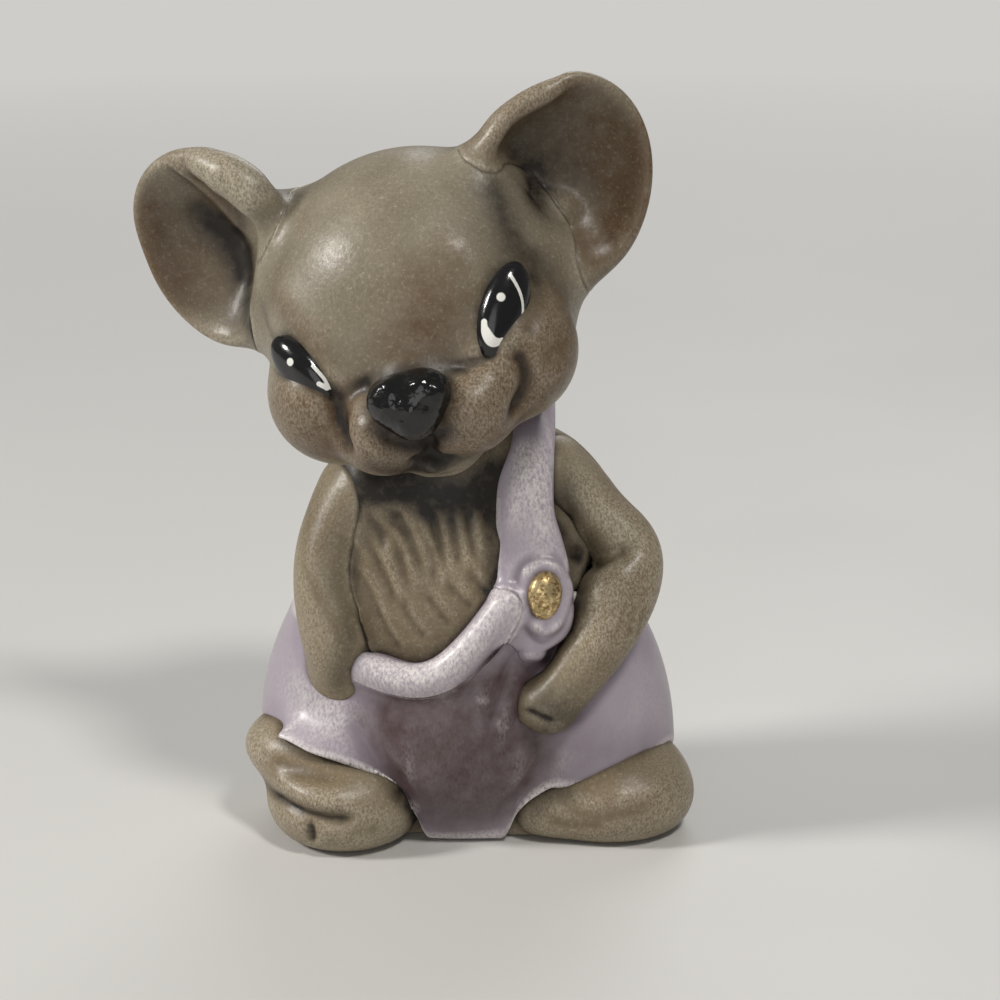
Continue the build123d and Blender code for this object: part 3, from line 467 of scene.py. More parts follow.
class Piece:
    """A closed clay form that is still being worked, in millimetres."""

    def __init__(self, name, shape):
        self.name = name
        bmesh.ops.recalc_face_normals(shape, faces=shape.faces[:])
        self.mesh = bpy.data.meshes.new(name)
        shape.to_mesh(self.mesh)
        shape.free()
        count = len(self.mesh.vertices)
        self.at = np.empty(count * 3)
        self.mesh.vertices.foreach_get("co", self.at)
        self.at = self.at.reshape(-1, 3)
        self.edges = np.empty(len(self.mesh.edges) * 2, int)
        self.mesh.edges.foreach_get("vertices", self.edges)
        self.links = np.bincount(self.edges, minlength=count)
        self.faces = [tuple(face.vertices) for face in self.mesh.polygons]
        self.paint = {layer: np.zeros(count) for layer in LAYERS}
        self.guide = None
        CLAY[name] = self

    def outward(self):
        """The direction straight out of the clay at each point."""
        self.mesh.vertices.foreach_set("co", self.at.ravel())
        self.mesh.update()
        way = np.empty(len(self.at) * 3, np.float32)
        self.mesh.vertex_normals.foreach_get("vector", way)
        return way.reshape(-1, 3).astype(float)

    def turn_out(self):
        """Turn the faces outwards, where shaping the piece has turned it inside out."""
        self.mesh.vertices.foreach_set("co", self.at.ravel())
        shape = bmesh.new()
        shape.from_mesh(self.mesh)
        if shape.calc_volume(signed=True) < 0:
            bmesh.ops.reverse_faces(shape, faces=shape.faces[:])
            shape.to_mesh(self.mesh)
            self.faces = [tuple(face.vertices) for face in self.mesh.polygons]
        shape.free()
        return self

    def tree(self):
        return BVHTree.FromPolygons(self.at.tolist(), self.faces)

    def averaged(self, values, times):
        """Values spread evenly between neighbouring points, a number of times over."""
        a, b = self.edges.reshape(-1, 2).T
        spread = values.reshape(len(values), -1).astype(float)
        for _ in range(times):
            total = np.stack([
                np.bincount(a, part[b], len(part)) + np.bincount(b, part[a], len(part))
                for part in spread.T], 1)
            spread = (spread + total / self.links[:, None]) / 2
        return spread.reshape(values.shape)

    def soften(self, times, share=1.0):
        """Smooth the clay, all of it or by a share at each point."""
        self.at = self.at * (1 - share) + self.averaged(self.at, times) * share

    def traced(self, line, behind):
        """Places on the clay under a line, with how near each is to an end of it."""
        apart = 0.12 if behind else 1.5
        behind_all, fade = 60, 5
        line = np.asarray(line, float)
        if len(line) > 1:
            length = np.cumsum(np.linalg.norm(np.diff(line, axis=0), axis=1))[-1]
            line = through(line, np.linspace(0, 1, max(3, int(length / apart))))
        if self.guide is None:
            self.guide = self.tree()
        spots, ends = [], []
        for n, (u, v) in enumerate(line):
            start, way = ((u, behind_all, v), (0, -1, 0)) if behind else (SEEN_FROM, sight(u, v))
            spot = self.guide.ray_cast(Vector(start), Vector(way))[0]
            if spot is not None:
                share = n / max(1, len(line) - 1)
                spots.append(tuple(spot))
                ends.append(1.0 if len(line) == 1 else min(1.0, fade * share, fade * (1 - share)))
        return np.array(spots), np.array(ends)

    def near(self, line, width, manner=""):
        """How near each point of the clay lies to a line: 1 on it, 0 far away."""
        spots, ends = self.traced(line, manner == "behind")
        share = np.zeros(len(self.at))
        if not len(spots):
            return share
        if manner == "even":
            ends = 1.0
        low, high = spots.min(0) - 3 * width, spots.max(0) + 3 * width
        close = np.nonzero(((self.at > low) & (self.at < high)).all(1))[0]
        batch = 4000
        for n in range(0, len(close), batch):
            part = close[n:n + batch]
            apart = ((self.at[part, None] - spots[None]) ** 2).sum(2)
            share[part] = (np.exp(-apart / (2 * width * width)) * ends).max(1)
        return share

    def mark(self, rows):
        """Work in marks, each a kind, a width, an amount and the places of its line."""
        for kind, width, amount, *places in rows:
            kind, _, manner = kind.partition(" ")
            line = list(zip(places[::2], places[1::2]))
            for part in [[spot] for spot in line] if manner == "dots" else [line]:
                share = amount * self.near(part, width, manner)
                if kind == "press":
                    self.at = self.at - self.outward() * share[:, None]
                else:
                    self.paint[kind] = self.paint[kind] + share
        return self

    def nudge(self, reach, *moves):
        """Shift the clay across the drawing: each move is a place and where it goes."""
        u, v = drawn(self.at)
        weight = np.zeros(len(self.at))
        shift = np.zeros((len(self.at), 2))
        for from_u, from_v, to_u, to_v in moves:
            fall = np.exp(-((u - from_u) ** 2 + (v - from_v) ** 2) / (2 * reach * reach))
            weight += fall
            shift += fall[:, None] * np.array((to_u - from_u, to_v - from_v))
        shift /= np.maximum(weight, 1.0)[:, None]
        scale = ((self.at - SEEN_FROM) @ AHEAD / DRAWING)[:, None]
        self.at = self.at + (shift[:, :1] * RIGHT - shift[:, 1:] * UPWARD) * scale
        self.guide = None
        return self


def new_ball(name, centre, lumps, fineness, floor=False, axes=None, at=None):
    """A ball of clay pushed out from a centre to the skin of the lumps."""
    shape = bmesh.new()
    bmesh.ops.create_icosphere(shape, subdivisions=fineness, radius=1)
    piece = Piece(name, shape)
    piece.at = skin_out(np.array(centre, float), unit(piece.at), lumps, 0.0, floor)
    if axes is not None:
        piece.at = piece.at @ axes.T + at
    return piece.turn_out()


def new_sphere(name, around, along):
    """A sphere to be reshaped, with how far down and how far round each point of it lies."""
    shape = bmesh.new()
    bmesh.ops.create_uvsphere(shape, u_segments=around, v_segments=along, radius=1)
    piece = Piece(name, shape)
    down = np.arccos(np.clip(piece.at[:, 2], -1, 1))
    return piece, down, np.arctan2(piece.at[:, 1], piece.at[:, 0])


def new_roll(name, stations, across=(0, -1, 0), around=64, along=160, flat=2.0):
    """A roll of clay with rounded ends, laid along stations and flattened towards a band."""
    piece, down, angle = new_sphere(name, around, along)
    little = 1e-4
    places = [place for place, _, _ in stations]
    dense = through(places, np.linspace(0, 1, 400))
    length = np.linalg.norm(np.diff(dense, axis=0), axis=1).sum()
    radius = min(min(wide, thick) for _, wide, thick in (stations[0], stations[-1]))
    whole = length + math.pi * radius
    run = down / math.pi * whole
    start_cap = np.clip(run / radius, 0, math.pi / 2)
    end_cap = np.clip((whole - run) / radius, 0, math.pi / 2)
    size = np.sin(start_cap) * np.sin(end_cap)
    beyond = np.cos(end_cap) * radius - np.cos(start_cap) * radius
    share = np.clip((run - math.pi / 2 * radius) / length, 0, 1)
    way = through(places, share + little) - through(places, share - little)
    way /= np.maximum(np.linalg.norm(way, axis=1), 1e-9)[:, None]
    halves = through([(wide, thick, 0) for _, wide, thick in stations], share)
    across = np.array(across, float)
    side = unit(across - way * (way @ across)[:, None])
    edge = []
    for part, half in ((np.cos(angle), halves[:, 0]), (np.sin(angle), halves[:, 1])):
        edge.append((half * size * np.sign(part) * np.abs(part) ** (2 / flat))[:, None])
    piece.at = (through(places, share) + way * beyond[:, None]
                + side * edge[0] + np.cross(way, side) * edge[1])
    return piece.turn_out()


def new_ear(name, side, out, up, opens, lean):
    """An ear: a dish on a trumpet that runs back to its root inside the head."""
    piece, down, angle = new_sphere(name, 160, 140)
    egg_shape, forward = 0.12, -0.6
    opens, lean = math.radians(opens), math.radians(lean)
    back, size, shift = through(EAR_RINGS, down / math.pi).T
    size = np.maximum(size, 0)
    wide = size * EAR_WIDE * (1 + egg_shape * np.sin(angle))
    local = np.stack([wide * np.cos(angle) - shift * EAR_SHIFT[0],
                      side * (size * EAR_HIGH * np.sin(angle) - shift * EAR_SHIFT[1]),
                      -back * EAR_DEPTH], 1)
    x = np.array((side * math.cos(opens), math.sin(opens), 0))
    z = np.array((side * math.sin(opens), -math.cos(opens), 0))
    axes = turned("Z", -side * lean) @ np.stack([x, np.cross(z, x), z], 1)
    piece.at = from_head(local @ axes.T + np.array((side * out, forward, up)))
    return piece.turn_out()


def new_bead(name, place, way, across, halves, fineness=6):
    """A flattened bead that faces one way, with its width across."""
    way, across = unit(np.array(way, float)), np.array(across, float)
    x = unit(across - way * np.dot(way, across))
    axes = np.stack([x, np.cross(way, x), way], 1)
    return new_ball(name, (0, 0, 0), [((0, 0, 0), halves)], fineness, axes=axes, at=np.array(place))


def on_trunk(x, z, back=False, outside=0.0):
    way = np.array([(0, 1.0 if back else -1.0, 0)])
    return tuple(skin_out(np.array((x, 0, z), float), way, TRUNK, outside)[0])


def straight_out(point):
    """The direction straight out of the trunk at a point."""
    steps = np.eye(3) * 0.01
    return -unit(sink(point + steps, TRUNK) - sink(point - steps, TRUNK))


def join(first, second, reach):
    """Run the clay of two pieces into one another, so that they meet in a soft hollow."""
    facing_apart, filled, passes = 0.15, 1 / 4, 4
    changes = []
    for piece, other in ((first, second), (second, first)):
        ways, other_ways = piece.outward(), other.outward()
        tree = other.tree()
        low, high = other.at.min(0) - reach, other.at.max(0) + reach
        step = np.zeros_like(piece.at)
        for n in np.nonzero(((piece.at > low) & (piece.at < high)).all(1))[0]:
            spot, _, face, apart = tree.find_nearest(Vector(piece.at[n]), reach)
            if spot is None:
                continue
            other_way = other_ways[list(other.faces[face])].mean(0)
            near = 1 - apart / reach
            blend = (1 - 0.5 * near) * ways[n] + 0.5 * near * other_way
            size = blend @ blend
            if size > facing_apart:
                step[n] = blend / size * reach * filled * near * near
        changes.append(step)
    for piece, step in zip((first, second), changes):
        piece.at = piece.at + step
        moved = np.clip(np.linalg.norm(step, axis=1) / reach * 8, 0, 1)
        piece.soften(passes, piece.averaged(moved, 2)[:, None])


def shade_hollows():
    """Settle the dark wash in the hollows of the whole figure and rub it off the raised places: the
    share of rays that meet the figure is painted shade laid into the wash layer.
    """
    shadow_reach, lift, lowest, golden_angle = 5.0, 0.06, 0.25, 2.399963
    rays = 12
    points, faces, count = [], [], 0
    for piece in CLAY.values():
        points.append(piece.at)
        faces += [tuple(count + v for v in face) for face in piece.faces]
        count += len(piece.at)
    tree = BVHTree.FromPolygons(np.vstack(points).tolist(), faces)
    turns = np.arange(rays) * golden_angle
    rise = lowest + (1 - lowest) * (np.arange(rays) + 0.5) / rays
    flat = np.sqrt(1 - rise * rise)
    fan = np.stack([flat * np.cos(turns), flat * np.sin(turns), rise], 1)
    for piece in CLAY.values():
        ways = piece.outward()
        helper = np.where(np.abs(ways[:, 2:]) < 0.9, np.array((0, 0, 1.0)), np.array((1.0, 0, 0)))
        side = unit(np.cross(helper, ways))
        other = np.cross(ways, side)
        shut = np.zeros(len(piece.at))
        starts = (piece.at + ways * lift).tolist()
        for ray in fan:
            found = (tree.ray_cast(start, way, shadow_reach)[3] for start, way in zip(
                starts, (side * ray[0] + other * ray[1] + ways * ray[2]).tolist()))
            shut += [0 if apart is None else 1 - apart / shadow_reach for apart in found]
        shut = piece.averaged(shut / rays, 6)
        dip, fine = (((piece.averaged(piece.at, times) - piece.at) * ways).sum(1)
                     for times in (14, 3))
        # Blocked rays and hollows darken the wash layer, which is painted shade together with the
        # real dark wash; raised places take the dry brushing
        piece.paint["wash"] += (1.6 * np.clip(shut - 0.12, 0, 1) + np.clip(dip * 4, 0, 0.4)
                                + np.clip(fine * 12, 0, 0.25))
        piece.paint["worn"] += (np.clip(-dip * 6, 0, 0.6) + np.clip(-fine * 30, 0, 0.4)
                                - np.clip(shut * 2, 0, 1))


def settle(piece, material):
    """Write a worked piece out in metres, with its paint, in place of the plain solid."""
    piece.mesh.vertices.foreach_set("co", (piece.at * MM).ravel())
    piece.mesh.polygons.foreach_set("use_smooth", [True] * len(piece.mesh.polygons))
    for key in LAYERS:
        layer = piece.mesh.attributes.new(key, "FLOAT", "POINT")
        layer.data.foreach_set("value", np.clip(piece.paint[key], 0, 1).astype(np.float32))
    piece.mesh.update()
    piece.mesh.materials.append(material)
    thing = bpy.data.objects.new("clay_" + piece.name, piece.mesh)
    bpy.context.scene.collection.objects.link(thing)
    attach(thing, "root")
    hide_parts(piece.name)


class Nodes:
    """A node tree under way, its nodes made one by one."""

    def __init__(self, owner):
        owner.use_nodes = True
        self.nodes, self.links = owner.node_tree.nodes, owner.node_tree.links

    def node(self, kind, inputs=(), **settings):
        made = self.nodes.new(kind)
        for key, value in settings.items():
            setattr(made, key, value)
        for key, value in dict(inputs).items():
            if isinstance(value, bpy.types.NodeSocket):
                self.links.new(value, made.inputs[key])
            else:
                made.inputs[key].default_value = value
        return made

    def sum(self, operation, first, second, clamp=False):
        return self.node("ShaderNodeMath", {0: first, 1: second}, operation=operation,
                         use_clamp=clamp).outputs["Value"]

    def blend(self, share, first, second):
        """Mix two colours, each a socket or three numbers, by a share from 0 to 1."""
        first, second = (value if isinstance(value, bpy.types.NodeSocket) else (*value[:3], 1)
                         for value in (first, second))
        return self.node("ShaderNodeMix", {0: share, 6: first, 7: second},
                         data_type="RGBA").outputs[2]


class Paints(Nodes):
    """A paint under way, on a material of its own."""

    def __init__(self, name):
        self.material = bpy.data.materials.new(name)
        super().__init__(self.material)
        self.surface = self.nodes["Principled BSDF"]
        self.place = self.node("ShaderNodeTexCoord").outputs["Object"]

    def layer(self, name):
        return self.node("ShaderNodeAttribute", attribute_name=name).outputs["Fac"]

    def grain(self, size_mm, detail=3.0, rough=0.6, stretch=None):
        """Uneven grain whose patches are about a size in millimetres."""
        place = self.place
        if stretch is not None:
            place = self.node("ShaderNodeMapping", {
                "Vector": place, "Scale": stretch[0], "Rotation": stretch[1]}).outputs["Vector"]
        return self.node("ShaderNodeTexNoise", {
            "Vector": place, "Scale": 1 / (MM * size_mm), "Detail": detail,
            "Roughness": rough}).outputs["Fac"]

    def between(self, value, low, high, start=0.0, end=1.0):
        return self.node("ShaderNodeMapRange", {
            "Value": value, "From Min": low, "From Max": high, "To Min": start, "To Max": end},
            clamp=True).outputs["Result"]

    def uneven(self, layer, grain, low, high, start=0.0, end=1.0):
        """A layer of paint, broken up by a grain."""
        return self.sum("MULTIPLY", self.layer(layer), self.between(grain, low, high, start, end),
                        clamp=True)

    def finish(self, colour, rough, bumps, **flat):
        self.links.new(colour, self.surface.inputs["Base Color"])
        self.links.new(rough, self.surface.inputs["Roughness"])
        normal = {}
        for height, depth_mm in bumps:
            inputs = {"Height": height, "Distance": depth_mm * MM, "Strength": 1.0, **normal}
            normal = {"Normal": self.node("ShaderNodeBump", inputs).outputs["Normal"]}
        self.links.new(normal["Normal"], self.surface.inputs["Normal"])
        self.links.new(normal["Normal"], self.surface.inputs["Coat Normal"])
        for key, value in flat.items():
            self.surface.inputs[key.replace("_", " ")].default_value = value
        return self.material


def paint_bisque(name, colours, olive=0.0):
    """Grey-brown paint on bisque, speckled, washed dark in the hollows with painted shade, and
    dry-brushed on top with painted highlights in places.
    """
    p = Paints(name)
    speck, patch, cloud = p.grain(0.27, 4.0, 0.8), p.grain(0.9), p.grain(6.0, 2.0, 0.5)
    stroke = p.grain(0.16, 4.0, 0.7, stretch=((1.0, 1.0, 0.6), (0.3, 0.1, 0.5)))
    base = p.blend(p.between(cloud, 0.35, 0.65), colours.taupe, colours.taupe_deep)
    base = p.blend(olive, base, colours.olive)
    base = p.blend(p.uneven("warm", patch, 0.25, 0.7, 0.55, 1.0), base, colours.tan)
    base = p.blend(p.between(speck, 0.55, 0.72, 0.0, 0.6), base, colours.speck)
    # The dry brushing and the painted highlights are thin where the paint is warm
    thin = p.between(p.layer("warm"), 0.1, 0.9, 0.8, 0.45)
    for light in (p.uneven("worn", stroke, 0.4, 0.62), p.between(speck, 0.45, 0.3, 0.0, 0.7)):
        base = p.blend(p.sum("MULTIPLY", light, thin), base, colours.brush)
    # Darker towards the wash colour: dark wash and painted shade in hollows, creases and under the
    # head
    base = p.blend(p.uneven("wash", patch, 0.3, 0.7, 0.85, 1.2), base, colours.wash)
    damp = p.sum("ADD", speck, p.sum("MULTIPLY", p.layer("wash"), 0.35))
    return p.finish(base, p.between(damp, 0.35, 0.9, 0.34, 0.58),
                    ((patch, 0.035), (speck, 0.010), (stroke, 0.008)), Specular_IOR_Level=0.3,
                    Coat_Weight=0.16, Coat_Roughness=0.24)


def paint_cloth(name, colours):
    """Pearl lavender paint, pinker and darker low on the belly, partly as painted shade, with dark
    wash and painted shade in the folds, painted highlights in places, and thin and pale along its
    edges.
    """
    p = Paints(name)
    speck, patch, cloud = p.grain(0.3, 3.0, 0.7), p.grain(1.4), p.grain(5.0, 2.0, 0.5)
    brush = p.grain(0.2, 4.0, 0.7, stretch=((1.0, 1.0, 0.5), (0.0, 0.5, 0.2)))
    base = p.blend(p.between(cloud, 0.3, 0.7), colours.lavender, colours.lavender_deep)
    # Rose brown low on the belly, partly painted shade where the belly turns down
    base = p.blend(p.uneven("warm", patch, 0.2, 0.7, 0.75, 1.0), base, colours.rose_and_shade)
    # Dark wash and painted shade in the folds
    base = p.blend(p.uneven("wash", patch, 0.3, 0.7, 0.75, 1.2), base, colours.cloth_wash_and_shade)
    # Lighter towards the pearl colour: painted highlights and worn places, and pale paint along the
    # edges
    light = p.sum("MAXIMUM", p.uneven("worn", brush, 0.36, 0.6),
                  p.uneven("pale", brush, 0.32, 0.55))
    base = p.blend(light, base, colours.pearl)
    base = p.blend(p.between(speck, 0.62, 0.75, 0.0, 0.3), base, colours.cloth_wash_and_shade)
    return p.finish(base, p.between(brush, 0.3, 0.7, 0.3, 0.5),
                    ((patch, 0.03), (brush, 0.010), (speck, 0.006)), Specular_IOR_Level=0.45,
                    Coat_Weight=0.3, Coat_Roughness=0.25)


def paint_gloss(name, colours, dark, bump_mm):
    """Gloss black, with the white paint of a glint or of the eye where it is laid on."""
    p = Paints(name)
    speck, knob = p.grain(0.3, 3.0, 0.7), p.grain(0.9, 2.0, 0.5)
    base = p.blend(p.between(p.layer("pale"), 0.4, 0.6), dark, colours.eye_white)
    return p.finish(base, p.between(speck, 0.3, 0.7, 0.1, 0.22),
                    ((knob, bump_mm), (speck, bump_mm * 0.08)), Specular_IOR_Level=0.55)


def paint_gold(name, colours):
    """Gold paint with coarse glitter in it."""
    p = Paints(name)
    flake = p.node("ShaderNodeTexVoronoi", {"Vector": p.place, "Scale": 1 / (MM * 0.2)})
    tone = p.between(flake.outputs["Color"], 0.15, 0.85)
    base = p.blend(tone, colours.gold_deep, colours.gold)
    # Darker where the wash layer lies: painted shade round the button, with some dark wash
    base = p.blend(p.sum("MULTIPLY", p.layer("wash"), 0.9, clamp=True), base, colours.gold_deep)
    return p.finish(base, p.between(tone, 0.0, 1.0, 0.5, 0.25),
                    ((tone, 0.04), (p.grain(0.5), 0.03)), Metallic=0.75)


def colour(name, text, default):
    return FloatVectorProperty(name=name, description=text, default=default, size=3,
                               subtype="COLOR", min=0, max=1)


class MouseColours(bpy.types.PropertyGroup):
    taupe: colour("Taupe", "Grey-brown of the head", (0.228, 0.197, 0.143))
    taupe_deep: colour("Deep taupe", "Darker clouds in the grey-brown", (0.165, 0.138, 0.094))
    olive: colour("Olive", "Olive brown of the chest, limbs and feet", (0.215, 0.166, 0.10))
    tan: colour("Tan", "Warm tan of the muzzle, the brow and the ear rims", (0.10, 0.055, 0.024))
    speck: colour("Speck", "Dark specks in the paint", (0.085, 0.07, 0.048))
    # The dry brush colour also gives painted highlights
    brush: colour("Dry brush", "Pale dry brushing on raised places", (0.46, 0.405, 0.31))
    # The wash colour gives the dark wash paint and painted shade
    wash: colour("Wash", "Thin dark paint in the hollows", (0.012, 0.008, 0.005))
    lavender: colour("Lavender", "Pearl lavender of the overalls", (0.385, 0.338, 0.385))
    lavender_deep: colour("Deep lavender", "Darker clouds in the lavender", (0.315, 0.268, 0.32))
    # Rose is partly painted shade low on the belly
    rose_and_shade: colour("Rose", "Rose brown low on the belly", (0.052, 0.024, 0.023))
    # Cloth wash gives dark wash and painted shade in the folds
    cloth_wash_and_shade: colour("Cloth wash", "Dark wash in the folds", (0.06, 0.036, 0.042))
    # Pearl also gives painted highlights on the strap, the hem and the left hip
    pearl: colour("Pearl", "Pale edges and worn places of the overalls", (0.68, 0.63, 0.615))
    nose_black: colour("Nose black", "Gloss black of the nose", (0.006, 0.006, 0.006))
    eye_black: colour("Eye black", "Gloss black of the eyes", (0.008, 0.008, 0.009))
    eye_white: colour("Eye white", "White paint on the eyes", (0.78, 0.77, 0.72))
    gold: colour("Gold", "Bright glitter of the button", (0.80, 0.63, 0.34))
    gold_deep: colour("Deep gold", "Ground of the button", (0.24, 0.15, 0.055))
    floor: colour("Floor", "Pale table that the figure stands on", (0.62, 0.61, 0.59))
    wall: colour("Wall", "Pale wall behind the figure", (0.62, 0.61, 0.59))


class MouseSizes(bpy.types.PropertyGroup):
    cloth: FloatProperty(name="Cloth", description="How far the overalls stand off the body",
                         default=0.0007, min=0.0003, max=0.0012, unit="LENGTH", precision=5)
    hem: FloatProperty(name="Hem", description="Radius of the rolled hem of the bib",
                       default=0.00078, min=0.0004, max=0.0012, unit="LENGTH", precision=5)
    fur: FloatProperty(name="Fur", description="Depth of the fur strokes on the chest",
                       default=0.00012, min=0, max=0.0004, unit="LENGTH", precision=5)
    joins: FloatProperty(name="Joins", description="How far the clay runs into the next piece",
                         default=0.0022, min=0.0005, max=0.004, unit="LENGTH", precision=5)
    fineness: IntProperty(name="Fineness", description="How often the head and trunk are divided",
                          default=7, min=5, max=7)
    lamp: FloatProperty(name="Lamp", description="Strength of the lamps",
                        default=1.0, min=0.1, max=4.0, subtype="FACTOR")


class MOUSE_OT_head(bpy.types.Operator):
    """Shape the head, with its brow, cheeks, muzzle and chin"""
    bl_idname = "mouse.head"
    bl_label = "Head"

    def execute(self, context):
        fineness = context.scene.mouse_sizes.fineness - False
        new_ball("head", (0, 0, 0), HEAD, fineness, axes=HEAD_AXES, at=HEAD_AT).mark(HEAD_MARKS)
        return {"FINISHED"}


class MOUSE_OT_ears(bpy.types.Operator):
    """Shape both ears, with their rolled rims and deep dishes"""
    bl_idname = "mouse.ears"
    bl_label = "Ears"

    def execute(self, context):
        right = new_ear("ear_right", -1, 13.9, 7.9, 60, 32)
        right.nudge(22, (150, 250, 152, 248), (170, 310, 170, 310), (235, 150, 240, 160),
                    (265, 163, 272, 172)).mark(EAR_RIGHT_MARKS)
        left = new_ear("ear_left", 1, 13.3, 6.3, 46, 26)
        left.nudge(22, (504, 88, 511, 99), (535, 71, 542, 81), (481, 119, 485, 124),
                   (650, 160, 650, 160), (590, 72, 590, 73)).mark(EAR_LEFT_MARKS)
        return {"FINISHED"}


class MOUSE_OT_face(bpy.types.Operator):
    """Set the knobbly black nose and the two painted eyes"""
    bl_idname = "mouse.face"
    bl_label = "Nose and eyes"

    def execute(self, context):
        new_ball("nose", (0, -12.9, -3.9), NOSE, 6, axes=HEAD_AXES, at=HEAD_AT).mark(NOSE_MARKS)
        turn, lean, down = (math.radians(angle) for angle in (41, 38, 3))
        halves, sunk = (1.9, 3.2, 1.3), 0.95
        for name, side in (("eye_left", 1), ("eye_right", -1)):
            way = np.array((side * math.sin(turn) * math.cos(down),
                            -math.cos(turn) * math.cos(down), -math.sin(down)))
            seat = skin_out(np.zeros(3), way[None], HEAD)[0] - way * sunk
            level = np.array((math.cos(turn), side * math.sin(turn), 0))
            across = level * math.cos(lean) - np.array((0, 0, side * math.sin(lean)))
            new_bead(name, from_head(seat), HEAD_AXES @ way, HEAD_AXES @ across, halves)
        CLAY["eye_left"].nudge(200, (512, 308, 502, 307)).nudge(
            22, (510, 275, 514, 266), (488, 338, 489, 346)).mark(EYE_LEFT_MARKS)
        CLAY["eye_right"].nudge(200, (299, 365, 303, 365)).mark(EYE_RIGHT_MARKS)
        return {"FINISHED"}


class MOUSE_OT_trunk(bpy.types.Operator):
    """Shape the trunk, with the strokes of fur on its chest"""
    bl_idname = "mouse.trunk"
    bl_label = "Trunk"

    def execute(self, context):
        sizes = context.scene.mouse_sizes
        trunk = new_ball("trunk", (*CORE, 13), TRUNK, sizes.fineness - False, floor=True)
        # The round vent in the base, behind the middle
        behind_core, radius, deep, sole = 4.5, 1.5, 2.2, 0.6
        apart = np.hypot(trunk.at[:, 0] - CORE[0], trunk.at[:, 1] - behind_core)
        trunk.at[(trunk.at[:, 2] < sole) & (apart < radius), 2] += deep
        fur, beside = sizes.fur / MM, np.array((7, 0) * 3)
        for stroke in FUR:
            trunk.mark([("press", 0.34, fur, *stroke),
                        ("press", 0.3, -0.7 * fur, *(stroke + beside))])
        trunk.mark(TRUNK_MARKS)
        return {"FINISHED"}


class MOUSE_OT_arms(bpy.types.Operator):
    """Roll both arms, one hand in its pocket and one paw on the hip"""
    bl_idname = "mouse.arms"
    bl_label = "Arms"

    def execute(self, context):
        new_roll("arm_right", ARM_RIGHT).mark(ARM_RIGHT_MARKS)
        new_roll("arm_left", ARM_LEFT).mark(ARM_LEFT_MARKS)
        return {"FINISHED"}


class MOUSE_OT_feet(bpy.types.Operator):
    """Shape both feet, with their rolls and creases"""
    bl_idname = "mouse.feet"
    bl_label = "Feet"

    def execute(self, context):
        new_ball("foot_right", (-9.0, -4.0, 3.2), FOOT_RIGHT, 6, floor=True).mark(FOOT_RIGHT_MARKS)
        new_ball("foot_left", (9.6, -3.0, 2.6), FOOT_LEFT, 6, floor=True).mark(FOOT_LEFT_MARKS)
        return {"FINISHED"}


class MOUSE_OT_tail(bpy.types.Operator):
    """Roll the tail that lies on the back of the overalls"""
    bl_idname = "mouse.tail"
    bl_label = "Tail"

    def execute(self, context):
        root, tip, length, drop = 1.5, 0.6, 11.5, 4.0
        curve = ((0.0, 0.0), (0.25, 0.55), (0.55, 1.0), (0.82, 0.8), (1.0, 0.15))
        stations = []
        for radius, (across, down) in zip(np.linspace(root, tip, len(curve)), curve):
            place = on_trunk(0.5 + across * length, 8.0 - down * drop, True, 0.7 + radius * 0.5)
            stations.append((place, radius, radius))
        new_roll("tail", stations, around=48, along=140).paint["warm"] += 0.25
        return {"FINISHED"}


